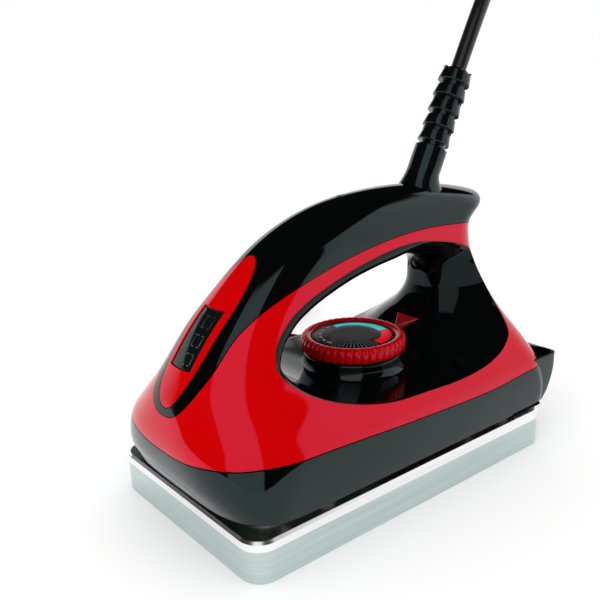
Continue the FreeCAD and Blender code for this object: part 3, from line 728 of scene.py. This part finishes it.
def add_heel():
    """The square lip behind the rounded tail."""
    rise = through(HEEL_OUTLINE, 26)
    points = []
    for rear, height in rise:
        row = [(HEEL_HALF, HEEL_START + (rear - HEEL_CORNER - HEEL_START) * k / 8) for k in range(8)]
        row += [(HEEL_HALF - HEEL_CORNER * (1 - math.cos(a)), rear - HEEL_CORNER * (1 - math.sin(a)))
                for a in np.linspace(0, math.pi / 2, 7)]
        row += [((HEEL_HALF - HEEL_CORNER) * (1 - k / 10), rear) for k in range(1, 11)]
        row += [(-x, y) for x, y in row[-2::-1]]
        points += [(x, y, height) for x, y in row]
    made = new_mesh("heel_lip", np.array(points), grid_faces(len(rise), len(row)), "black_gloss")
    face_from(made, HOUSING_MIDDLE)
    thicken(made, SKIRT_WALL)
    round_edges(made, 0.6, 3)


# ---- body shell with the handle opening
# The opening on the side view (y, height), at the flanks and in the handle's middle, point for point.
RIM = [
    (26.9, 100.9), (48.5, 98.1), (60.4, 94.3), (64.8, 91.0), (67.3, 83.6), (72.0, 73.0), (73.7, 63.0),
    (71.4, 56.7), (66.4, 53.0), (57.6, 49.6), (45.0, 47.2), (28.0, 46.2), (8.0, 46.8), (-10.9, 47.8),
    (-25.0, 50.4), (-38.5, 54.6), (-48.3, 59.9), (-54.4, 67.0), (-52.8, 74.0), (-48.7, 79.5), (-40.4, 85.3),
    (-25.1, 91.3), (0.0, 97.6)]
THROAT = [
    (25.0, 93.5), (40.0, 91.9), (47.0, 88.8), (50.5, 85.5), (52.5, 79.5), (51.5, 70.5), (46.0, 62.5),
    (40.5, 58.0), (35.5, 53.8), (29.5, 49.5), (22.0, 47.6), (14.0, 47.0), (4.0, 47.0), (-9.0, 47.2),
    (-20.5, 48.4), (-33.0, 52.5), (-41.0, 58.0), (-45.2, 65.5), (-44.0, 72.5), (-40.5, 76.0), (-34.0, 80.2),
    (-20.0, 85.6), (0.0, 90.8)]
RIM_COLUMNS = 240
FLANK_CORNERS = [(64.8, 91.0), (69.5, 55.0), (-36.0, 53.7), (-53.5, 63.5)]
FLANK_COLUMNS = [44, 110, 24, 130]


def opening_curves():
    """The rim and the throat, matched point by point."""
    pairs = through([r + t for r, t in zip(RIM, THROAT)], RIM_COLUMNS, closed=True)
    return pairs[:, :2], pairs[:, 2:]


def ring_parts(curve, corners):
    """Cut a closed curve at the points nearest the corners."""
    starts = [int(np.argmin(np.hypot(curve[:, 0] - y, curve[:, 1] - z))) for y, z in corners]
    parts = []
    for a, b in zip(starts, starts[1:] + starts[:1]):
        b = b if b > a else b + len(curve)
        parts.append(curve[[i % len(curve) for i in range(a, b + 1)]])
    return parts


def grow(curve, distance):
    """Move a closed side-view curve outwards."""
    ahead, behind = np.roll(curve, -1, axis=0), np.roll(curve, 1, axis=0)
    along = ahead - behind
    normal = np.stack([along[:, 1], -along[:, 0]], axis=1)
    normal /= np.linalg.norm(normal, axis=1)[:, None]
    middle = curve.mean(axis=0)
    if ((curve - middle) * normal).sum() < 0:
        normal = -normal
    return curve + normal * distance


def add_body_shell():
    """The red flanks: a ring between the handle opening and the two seams."""
    rim = grow(opening_curves()[0], GAP)
    inner = ring_parts(rim, FLANK_CORNERS)
    top = seam_share(TOP_SEAM, 400, -GAP)
    low = seam_share(LOW_SEAM, 400, GAP)
    tail = np.array([top[-1], low[-1]])
    nose = np.array([low[0], top[0]])
    outer = [tail, low[::-1], nose, top]
    first, last = [], []
    for part, edge, count in zip(inner, outer, FLANK_COLUMNS):
        line = evenly(part, count + 1)[:-1]
        first.append(on_flank(line[:, 0], line[:, 1]))
        dense = columns_at(np.linspace(0, 1, 200), np.linspace(0, 1, len(edge)), edge)
        last.append(evenly_on_surface(dense, count + 1)[:-1])
    grid = untangle(ruled(np.vstack(first), np.vstack(last), 34, close_to_edges), closed=True)
    shell("body_flanks", grid, "red_gloss", "body_shell", closed=True)


# ---- top shell and display panel
SEAM_CUTS = (-88.6, -44.0, 18.0, 34.0)
OVAL_MIDDLE = 80.2
OVAL_TALL = 25.5
OVAL_HALF = 10.15


def oval_half(z, gap=0.0):
    """Half width of the display panel at a height."""
    share = np.clip(np.abs(z - OVAL_MIDDLE) / (OVAL_TALL + gap), 0, 1)
    return (OVAL_HALF + gap) * np.sqrt(1 - share ** 2.5)


def oval_edge(count, gap):
    """The panel's left border from its bottom to its top."""
    turn = np.linspace(-math.pi / 2, math.pi / 2, 300)
    z = OVAL_MIDDLE + (OVAL_TALL + gap) * np.sin(turn)
    return evenly_on_surface(on_nose(oval_half(z, gap), z), count)


def straight(a, b, count):
    """Evenly spaced points from a to b."""
    t = np.linspace(0, 1, count)[:, None]
    return np.array(a) * (1 - t) + np.array(b) * t


def add_top_shell():
    """The black nose and handle crown, from the seam up to the crest and round the display panel."""
    seam = seam_share(TOP_SEAM, 2000, GAP)
    places = surface(seam[:, 0], seam[:, 1])
    oval = oval_edge(70, GAP)
    last_level = seam[-1, 1]
    inner = [straight((0, seam[0, 1]), (0, oval[0, 1]), 6), oval,
             straight((0, oval[-1, 1]), (0, TOP_LEVEL), 36),
             straight((0, TOP_LEVEL), (1, TOP_LEVEL), 20),
             straight((1, TOP_LEVEL), (1, last_level), 52)]
    cuts = [0]
    for y in SEAM_CUTS:
        cuts.append(int(np.argmin(np.abs(places[:, 1] - y))))
    cuts.append(len(seam) - 1)
    first, last = [], []
    for a, b, part in zip(cuts, cuts[1:], inner):
        first.append(evenly_on_surface(seam[a:b + 1], len(part))[:-1])
        last.append(part[:-1])
    first.append(seam[-1:])
    last.append(inner[-1][-1:])
    grid = untangle(ruled(np.vstack(first), np.vstack(last), 30, close_to_edges))
    shell("crown_shell", grid, "black_gloss", "top_shell", wall=1.8)


WINDOW_HALF = 7.0
WINDOW_LOW = 68.5
WINDOW_HIGH = 88.5
PANE_MARGIN = 0.2
PANE_SINK = 0.55
DIGIT_SINK = 0.5
NOSE_NORMAL = np.array([0, -0.815, 0.579])


def window_edge(count):
    """The window's left border, from the middle of its lower edge to that of its upper edge."""
    side = count // 2
    low_end = (count - side) // 2
    high_end = count - side - low_end
    points = [(WINDOW_HALF * k / low_end, WINDOW_LOW) for k in range(low_end)]
    points += [(WINDOW_HALF, WINDOW_LOW + (WINDOW_HIGH - WINDOW_LOW) * k / side) for k in range(side)]
    points += [(WINDOW_HALF * (1 - k / (high_end - 1)), WINDOW_HIGH) for k in range(high_end)]
    return np.array(points)


def nose_point(x, z, sink):
    """Points of the nose given on the front view, sunk below the surface."""
    share_level = on_nose(np.abs(x), z)
    point = surface(share_level[:, 0], share_level[:, 1])
    point[:, 0] *= np.sign(x)
    return point - NOSE_NORMAL * sink


def add_display():
    """The red leaf-shaped panel, the window sunk into it, and the numerals of the display behind it."""
    count = 90
    window = window_edge(count)
    grid = ruled(on_nose(window[:, 0], window[:, 1]), oval_edge(count, -GAP), 12, close_to_edges)
    shell("display_leaf", grid, "red_gloss", "display_panel", wall=1.6, edge=0.2)
    columns, rows = 15, 21
    x, z = np.meshgrid(np.linspace(-WINDOW_HALF - PANE_MARGIN, WINDOW_HALF + PANE_MARGIN, columns),
                       np.linspace(WINDOW_LOW - PANE_MARGIN, WINDOW_HIGH + PANE_MARGIN, rows))
    glass = nose_point(x.ravel(), z.ravel(), PANE_SINK)
    pane = new_mesh("display_glass", glass, grid_faces(rows, columns), "display_clear",
                    node="display_window")
    face_from(pane, HOUSING_MIDDLE)
    thicken(pane, 1.4)
    add_digits()


# Seven segments as places across and up in half digits: the level ones first, then the upright ones.
SEGMENTS = [(0, 1), (0, 0), (0, -1), (-1, 0.5), (1, 0.5), (-1, -0.5), (1, -0.5)]
DIGITS = 3
DIGIT_FIRST = 3.7
DIGIT_STEP = 6.1
DIGIT_HALF = 1.8
DIGIT_TALL = 4.4
LEVEL_BAR = (1.55, 0.16)
UPRIGHT_BAR = (0.16, 2.0)
DIGIT_SHADES = {"display_digits": (0.012, 0.018, 0.018), "display_digits_lit": (0.06, 0.075, 0.072)}


def digit_bars(lit):
    """Corners of the bars that catch more light, or of the others, on the front view."""
    bars = []
    for digit in range(DIGITS):
        middle = WINDOW_LOW + DIGIT_FIRST + digit * DIGIT_STEP
        for across, up in SEGMENTS:
            if lit == (digit < 2 and up > 0):
                half_u, half_v = UPRIGHT_BAR if across else LEVEL_BAR
                u, v = middle + across * DIGIT_HALF, up * DIGIT_TALL
                bars += [(v + half_v * b, u + half_u * a) for b, a in ((-1, -1), (-1, 1), (1, 1), (1, -1))]
    return np.array(bars)


def add_digits():
    """Unlit seven-segment numerals, read with the iron's nose to the right."""
    for name, colour in DIGIT_SHADES.items():
        flat = digit_bars(name.endswith("lit"))
        placed = nose_point(flat[:, 0], flat[:, 1], DIGIT_SINK)
        faces = [tuple(range(i, i + 4)) for i in range(0, len(flat), 4)]
        made = new_mesh(name, placed, faces, "black_matt")
        made.data.materials[0] = moulded(name, colour, 0.4)
        face_from(made, HOUSING_MIDDLE)
        thicken(made, 0.08)


# ---- handle liner
LIP = 1.7
LIP_FLARE = 0.35
ROLL = 0.13
FRAME = 0.5
FRAME_DEPTH = 2.0
FRAME_FADES_OVER = (62, 82)
FRAME_FADES_BEHIND = (-42, -16)


def ramp_up(values, low, high):
    """0 below low, 1 above high, and smooth between them."""
    t = np.clip((values - low) / (high - low), 0, 1)
    return t * t * (3 - 2 * t)


def add_liner():
    """The glossy black skin of the handle opening. It has a rounded lip where it meets the flanks, and a
    narrow frame inside that round the front and top."""
    rim, throat = opening_curves()
    share_level = on_flank(rim[:, 0], rim[:, 1])
    rim_points = surface(share_level[:, 0], share_level[:, 1])
    width = rim_points[:, 0]
    roll = 1 - ROLL * np.linspace(0, 1, 17) ** 2
    v = np.concatenate([-roll[:-1], np.linspace(-roll[-1], roll[-1], 45), roll[::-1][1:]])
    framed = FRAME * ramp_up(rim[:, 1], *FRAME_FADES_OVER) * ramp_up(-rim[:, 0], *FRAME_FADES_BEHIND)
    rows = []
    for k in v:
        depth = np.minimum((1 - abs(k)) * width, FRAME_DEPTH) / FRAME_DEPTH
        share = 1 - abs(k) ** 3 * (1 - framed * np.sqrt(1 - (1 - depth) ** 2))
        flat = rim + (throat - rim) * share[:, None]
        rows.append(np.column_stack([width * k, flat]))
    grid = np.array(rows)
    edge = np.array([1 - abs(k) for k in v])[:, None] * width[None]
    lift = LIP * np.sqrt(np.clip(1 - ((LIP - np.minimum(edge, LIP)) / LIP) ** 2, 0, 1))
    middle = grid.mean(axis=1, keepdims=True)
    inward = middle - grid
    inward[..., 0] = 0
    inward /= np.linalg.norm(inward, axis=2)[..., None]
    grid = grid + inward * (lift - LIP)[..., None] * LIP_FLARE
    faces = grid_faces(len(v), RIM_COLUMNS, closed_columns=True)
    made = new_mesh("opening_liner", grid.reshape(-1, 3), faces, "black_gloss", node="handle_liner")
    made.data.materials[0] = MATERIALS["liner_gloss"]
    face_from(made, OPENING_MIDDLE, away=False)
    thicken(made, 1.6)
    round_edges(made, 0.4, 3)


DIAL_Y = 8.4
DIAL_FOOT = (0, DIAL_Y, 0)


def add_collar():
    """The flared seat under the knob."""
    profile = [(19.4, 48.5), (19.4, 52.6)] + arc((20.1, 52.6), 0.7, 180, 90, 4)
    profile += arc((21.5, 52.5), 0.8, 90, 0, 5) + [(22.3, 50.5)] + arc((27.3, 50.6), 5.0, 180, 262, 12)
    points, faces = revolve(profile, 128, DIAL_FOOT)
    made = new_mesh("dial_collar", points, faces, "black_gloss")
    round_edges(made, 0.1)


# ---- dial
FLUTES = 42
KNOB_RADIUS = 23.5
KNOB_LOW = 53.9
KNOB_HIGH = 60.6
FACE_RADIUS = 18.8
FLUTE_START = 19.6
FLUTE_FADE = 1.6
FLUTE_DEPTH = 0.95


def flute(angle, radius, _):
    """Rounded ribs with narrow grooves round the knob's grip."""
    if radius < FLUTE_START:
        return radius
    groove = (1 - abs(math.sin(angle * FLUTES / 2))) ** 2.2
    return radius - FLUTE_DEPTH * groove * min(1, (radius - FLUTE_START) / FLUTE_FADE)


def add_knob():
    """The knob's underside, fluted grip and rim, and the recess for its disc."""
    profile = [(6.0, 53.0), (6.0, KNOB_LOW), (20.5, KNOB_LOW), (22.4, KNOB_LOW + 0.1),
               (23.2, KNOB_LOW + 0.5), (KNOB_RADIUS, KNOB_LOW + 1.2), (KNOB_RADIUS, 56.0),
               (KNOB_RADIUS, 58.0), (23.4, 58.9), (23.0, 59.7), (22.3, 60.3), (21.4, KNOB_HIGH),
               (20.4, KNOB_HIGH), (19.6, 60.4), (19.1, 60.0), (FACE_RADIUS, 59.6), (FACE_RADIUS, 58.4),
               (6.0, 58.4)]
    points, faces = revolve(profile, FLUTES * 12, DIAL_FOOT, shape=flute)
    new_mesh("knob", points, faces, "knob_red", body=DIAL, node="dial_knob")


# Parts of the print: from and to in degrees, then from and to in radius.
COOL_BAND = (70, 176, 12.2, 16.8)
HOT_BAND = (2, 70, 12.6, 17.2)
TICKS = (-100, 0, 10.5, 17.2)
FINE_TICKS = (-178, -100, 16.0, 17.4)
PRINT_BLACK = (0.006, 0.006, 0.007)
PRINT_GREY = (0.16,) * 3
PRINT_PALE = (0.22,) * 3
PRINT_COOL = (0.03, 0.95, 1.0)
PRINT_HOT = (1.0, 0.004, 0.02)


def dial_print():
    """Black face with a cool-to-hot band and a fine scale, all worked out from the angle and radius."""
    made, tree, shader = material("dial_print")
    set_shader(shader, rough=0.3, specular=0.06)
    x, y, _ = axes(tree)
    y = calc(tree, "SUBTRACT", y, DIAL_Y * MM)
    radius = calc(tree, "SQRT", calc(tree, "ADD", product(tree, x, x), product(tree, y, y)))
    angle = calc(tree, "ARCTAN2", y, x)

    def within(value, low, high):
        return product(tree, calc(tree, "GREATER_THAN", value, low), calc(tree, "LESS_THAN", value, high))

    def sector(start, end, inner, outer):
        return product(tree, within(angle, math.radians(start), math.radians(end)),
                       within(radius, inner * MM, outer * MM))

    def teeth(count, share):
        return calc(tree, "GREATER_THAN", calc(tree, "SINE", product(tree, angle, count)), share)

    taper = product(tree, calc(tree, "SUBTRACT", math.radians(175), angle), 0.9 * MM)
    tapered = calc(tree, "LESS_THAN", radius, calc(tree, "ADD", taper, 15.0 * MM))
    ticks = product(tree, teeth(60.0, 0.72), sector(*TICKS))
    fine = product(tree, teeth(90.0, 0.6), sector(*FINE_TICKS))
    cool = product(tree, sector(*COOL_BAND), tapered)
    colour = PRINT_BLACK
    for mask, shade in ((ticks, PRINT_GREY), (fine, PRINT_PALE), (cool, PRINT_COOL),
                        (sector(*HOT_BAND), PRINT_HOT)):
        colour = over(tree, colour, mask, shade)
    tree.links.new(colour, shader.inputs["Base Color"])
    return made


NUMERALS = ("100", "110", "120", "130", "140", "150")
NUMERAL_START = -172
NUMERAL_STEP = 17
NUMERAL_RADIUS = 14.8
NUMERAL_SIZE = 2.0
NUMERAL_WHITE = moulded("numeral_white", (0.6, 0.6, 0.6), 0.4)


def add_face():
    """The printed disc on the knob, with raised numerals of its temperature scale."""
    profile = [(18.6, 58.7), (18.6, 59.6), (18.4, 59.8), (9.0, 59.8), (0.001, 59.8)]
    points, faces = revolve(profile, 96, DIAL_FOOT)
    made = new_mesh("scale_disc", points, faces, "dial_black", body=DIAL, node="dial_face")
    made.data.materials[0] = dial_print()
    for k, text in enumerate(NUMERALS):
        angle = math.radians(NUMERAL_START + k * NUMERAL_STEP)
        data = bpy.data.curves.new("numeral_" + text, "FONT")
        data.body = text
        data.size = NUMERAL_SIZE * MM
        data.extrude = 0.02 * MM
        data.align_x = "CENTER"
        data.align_y = "CENTER"
        numeral = add_object("numeral_" + text, data)
        x, y = NUMERAL_RADIUS * math.cos(angle), NUMERAL_RADIUS * math.sin(angle)
        place = Vector((x, DIAL_Y + y, 59.84)) * MM
        numeral.matrix_world = Matrix.Translation(place) @ Matrix.Rotation(angle + math.pi / 2, 4, "Z")
        data.materials.append(NUMERAL_WHITE)
        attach(numeral, DIAL)


# ---- pointer lens
POINTER_TIP = np.array([0, 34.6, 57.2])
POINTER_BACK = np.array([0, 45.6, 61.0])
POINTER_OUTLINE = [(0.0, 0.0), (8.1, 11.4), (7.9, 12.7), (-7.9, 12.7), (-8.1, 11.4)]
POINTER_DEPTH = 3.2


def add_pointer():
    """A thick red arrow head, its tip at the knob, lying on the slope behind it."""
    along = (POINTER_BACK - POINTER_TIP) / np.linalg.norm(POINTER_BACK - POINTER_TIP)
    across = np.array([1.0, 0, 0])
    normal = np.cross(across, along)
    points = []
    for depth in (0.0, -POINTER_DEPTH):
        points += [POINTER_TIP + across * x + along * s + normal * depth for x, s in POINTER_OUTLINE]
    count = len(POINTER_OUTLINE)
    faces = [tuple(range(count)), tuple(range(2 * count - 1, count - 1, -1))]
    faces += [(i, (i + 1) % count, count + (i + 1) % count, count + i) for i in range(count)]
    made = new_mesh("pointer", np.array(points), faces, "pointer_red", node="pointer_lens")
    round_edges(made, 0.5, 3, 30)


# ---- boot
BOOT_RADIUS = 7.5
BOOT_PITCH = 7.2
SLEEVE_TOP = 19.0
SLOT_HEIGHT = 2.0
FOOT_CENTRE = np.array([0.0, 49.5, 117.6])
FOOT_RADIUS = 12.3
FOOT_END = 8.0
BOOT_STEPS = 120
RING_TAPER = 1.0
TAB_TURN = math.radians(38)
TAB_HALF = 0.36
TAB_RADIUS = 6.6
CORE_RADIUS = 5.2


def boot_shape(angle, radius, height):
    """Rings that widen downwards, joined by tabs that change sides from one ring to the next."""
    if height < SLEEVE_TOP:
        return radius
    ring = int((height - SLEEVE_TOP) / BOOT_PITCH)
    along = (height - SLEEVE_TOP) - ring * BOOT_PITCH
    if along > SLOT_HEIGHT:
        return radius - RING_TAPER * (along - SLOT_HEIGHT) / (BOOT_PITCH - SLOT_HEIGHT)
    turn = (angle + TAB_TURN + (0 if ring % 2 else math.pi / 2)) % math.pi
    return TAB_RADIUS if abs(turn - math.pi / 2) < TAB_HALF else CORE_RADIUS


def boot_foot():
    """Rings from the level foot on the crown to the leaning sleeve."""
    rings = []
    sleeve = BOOT_FOOT + BOOT_AXIS * FOOT_END
    for t in np.linspace(0, 1, 14)[:-1]:
        lean = BOOT_LEAN * t
        centre = FOOT_CENTRE + (sleeve - FOOT_CENTRE) * t
        radius = BOOT_RADIUS + (FOOT_RADIUS - BOOT_RADIUS) * (1 - t) ** 1.7
        for i in range(BOOT_STEPS):
            x = math.cos(2 * math.pi * i / BOOT_STEPS)
            other = math.sin(2 * math.pi * i / BOOT_STEPS)
            rings.append(centre + np.array([x, other * math.cos(lean), -other * math.sin(lean)]) * radius)
    return np.array(rings)


def add_boot():
    """The strain relief: its foot, the plain sleeve, and the slotted rings up to the tip."""
    profile = [(BOOT_RADIUS, FOOT_END), (BOOT_RADIUS, 12.0), (BOOT_RADIUS - 0.05, SLEEVE_TOP - 0.4)]
    profile.append((BOOT_RADIUS - 0.5, SLEEVE_TOP - 0.02))
    height = SLEEVE_TOP
    while height + 1 < BOOT_LENGTH:
        for step in (0.02, SLOT_HEIGHT - 0.02, SLOT_HEIGHT + 0.02, SLOT_HEIGHT + 0.35, 3.2, 4.4, 5.8,
                     BOOT_PITCH - 0.3, BOOT_PITCH - 0.02):
            trim = 0.3 if step in (SLOT_HEIGHT + 0.02, BOOT_PITCH - 0.02) else 0.0
            if height + step < BOOT_LENGTH:
                profile.append((BOOT_RADIUS - trim, height + step))
        height += BOOT_PITCH
    profile += [(BOOT_RADIUS - RING_TAPER, BOOT_LENGTH), (CORD_RADIUS + 0.1, BOOT_LENGTH)]
    upper, _ = revolve(profile, BOOT_STEPS, BOOT_FOOT, BOOT_AXIS, boot_shape)
    points = np.vstack([boot_foot(), upper])
    faces = grid_faces(len(points) // BOOT_STEPS, BOOT_STEPS, closed_columns=True)
    made = new_mesh("strain_relief", points, faces, "rubber_black", node="cord_boot")
    round_edges(made, 0.15, 2, 40)


# ---- floor and lights
FRONT = (0.783, -0.622)
FLOOR_REACH = 6.0


def add_floor():
    """A plain pale floor."""
    mesh = bpy.data.meshes.new("floor")
    corners = [(x * FLOOR_REACH, y * FLOOR_REACH, 0) for x, y in ((-1, -1), (1, -1), (1, 1), (-1, 1))]
    mesh.from_pydata(corners, [], [(0, 1, 2, 3)])
    floor = add_object("floor", mesh)
    made, _, shader = material("floor_pale")
    set_shader(shader, colour=(0.93, 0.93, 0.93, 1), rough=0.8, specular=0.1, emission=(1, 1, 1, 1),
               glow=0.14)
    mesh.materials.append(made)


def add_key():
    """A wide soft lamp above the camera's left shoulder; the surround gives the rest of the light."""
    data = bpy.data.lights.new("key", "AREA")
    data.shape = "RECTANGLE"
    data.size, data.size_y = 0.9, 0.6
    data.energy = 3.0
    light = add_object("key", data)
    light.visible_glossy = False
    place, target = Vector((0.35, -1.2, 0.9)), Vector((0, 0, 0.06))
    turn = (target - place).to_track_quat("-Z", "Y").to_matrix().to_4x4()
    light.matrix_world = Matrix.Translation(place) @ turn


def add_world():
    """Even white light all round. Gloss reflects a white surround with a dark ceiling and front and one tall
    bright panel. Azimuths are in degrees from the front and grow towards the iron's rear."""
    world = bpy.data.worlds.new("studio")
    bpy.context.scene.world = world
    world.use_nodes = True
    tree = world.node_tree
    background = tree.nodes["Background"]
    x, y, z = axes(tree, "Generated")
    front = calc(tree, "ADD", product(tree, x, FRONT[0]), product(tree, y, FRONT[1]))
    side = calc(tree, "ADD", product(tree, x, -FRONT[1]), product(tree, y, FRONT[0]))
    azimuth = calc(tree, "DIVIDE", calc(tree, "ARCTAN2", side, front), math.pi)
    turn = calc(tree, "ADD", calc(tree, "MULTIPLY", azimuth, 0.5), 0.5)

    def azimuths(low, high):
        stops = [(low - 1, 0), (low + 1, 1), (high - 1, 1), (high + 1, 0)]
        return ramp(tree, turn, [(0.5 + place / 360, value) for place, value in stops])

    def below(sine):
        return ramp(tree, z, [(sine - 0.015, 1), (sine + 0.015, 0)])

    right = product(tree, azimuths(64, 140), below(0.68))
    left = product(tree, ramp(tree, turn, [(0.5 - 112 / 360, 1), (0.5 - 92 / 360, 0)]), below(0.34))
    rear = product(tree, azimuths(139, 182), below(0.34))
    panel = product(tree, azimuths(-38, 16), below(0.9))
    glow = calc(tree, "MAXIMUM", calc(tree, "MAXIMUM", left, right), calc(tree, "MAXIMUM", rear, panel))
    glow = calc(tree, "ADD", glow, 0.008)

    paths = tree.nodes.new("ShaderNodeLightPath")
    strength = tree.nodes.new("ShaderNodeMix")
    tree.links.new(paths.outputs["Is Glossy Ray"], strength.inputs["Factor"])
    strength.inputs["A"].default_value = 1.0
    tree.links.new(glow, strength.inputs["B"])
    tree.links.new(strength.outputs["Result"], background.inputs["Strength"])
    background.inputs["Color"].default_value = (1, 1, 1, 1)


add_skirt()
add_heel()
add_body_shell()
add_top_shell()
add_display()
add_liner()
add_collar()
add_knob()
add_face()
add_pointer()
add_boot()
add_floor()
add_world()
add_key()
bpy.context.scene.view_settings.view_transform = "Standard"
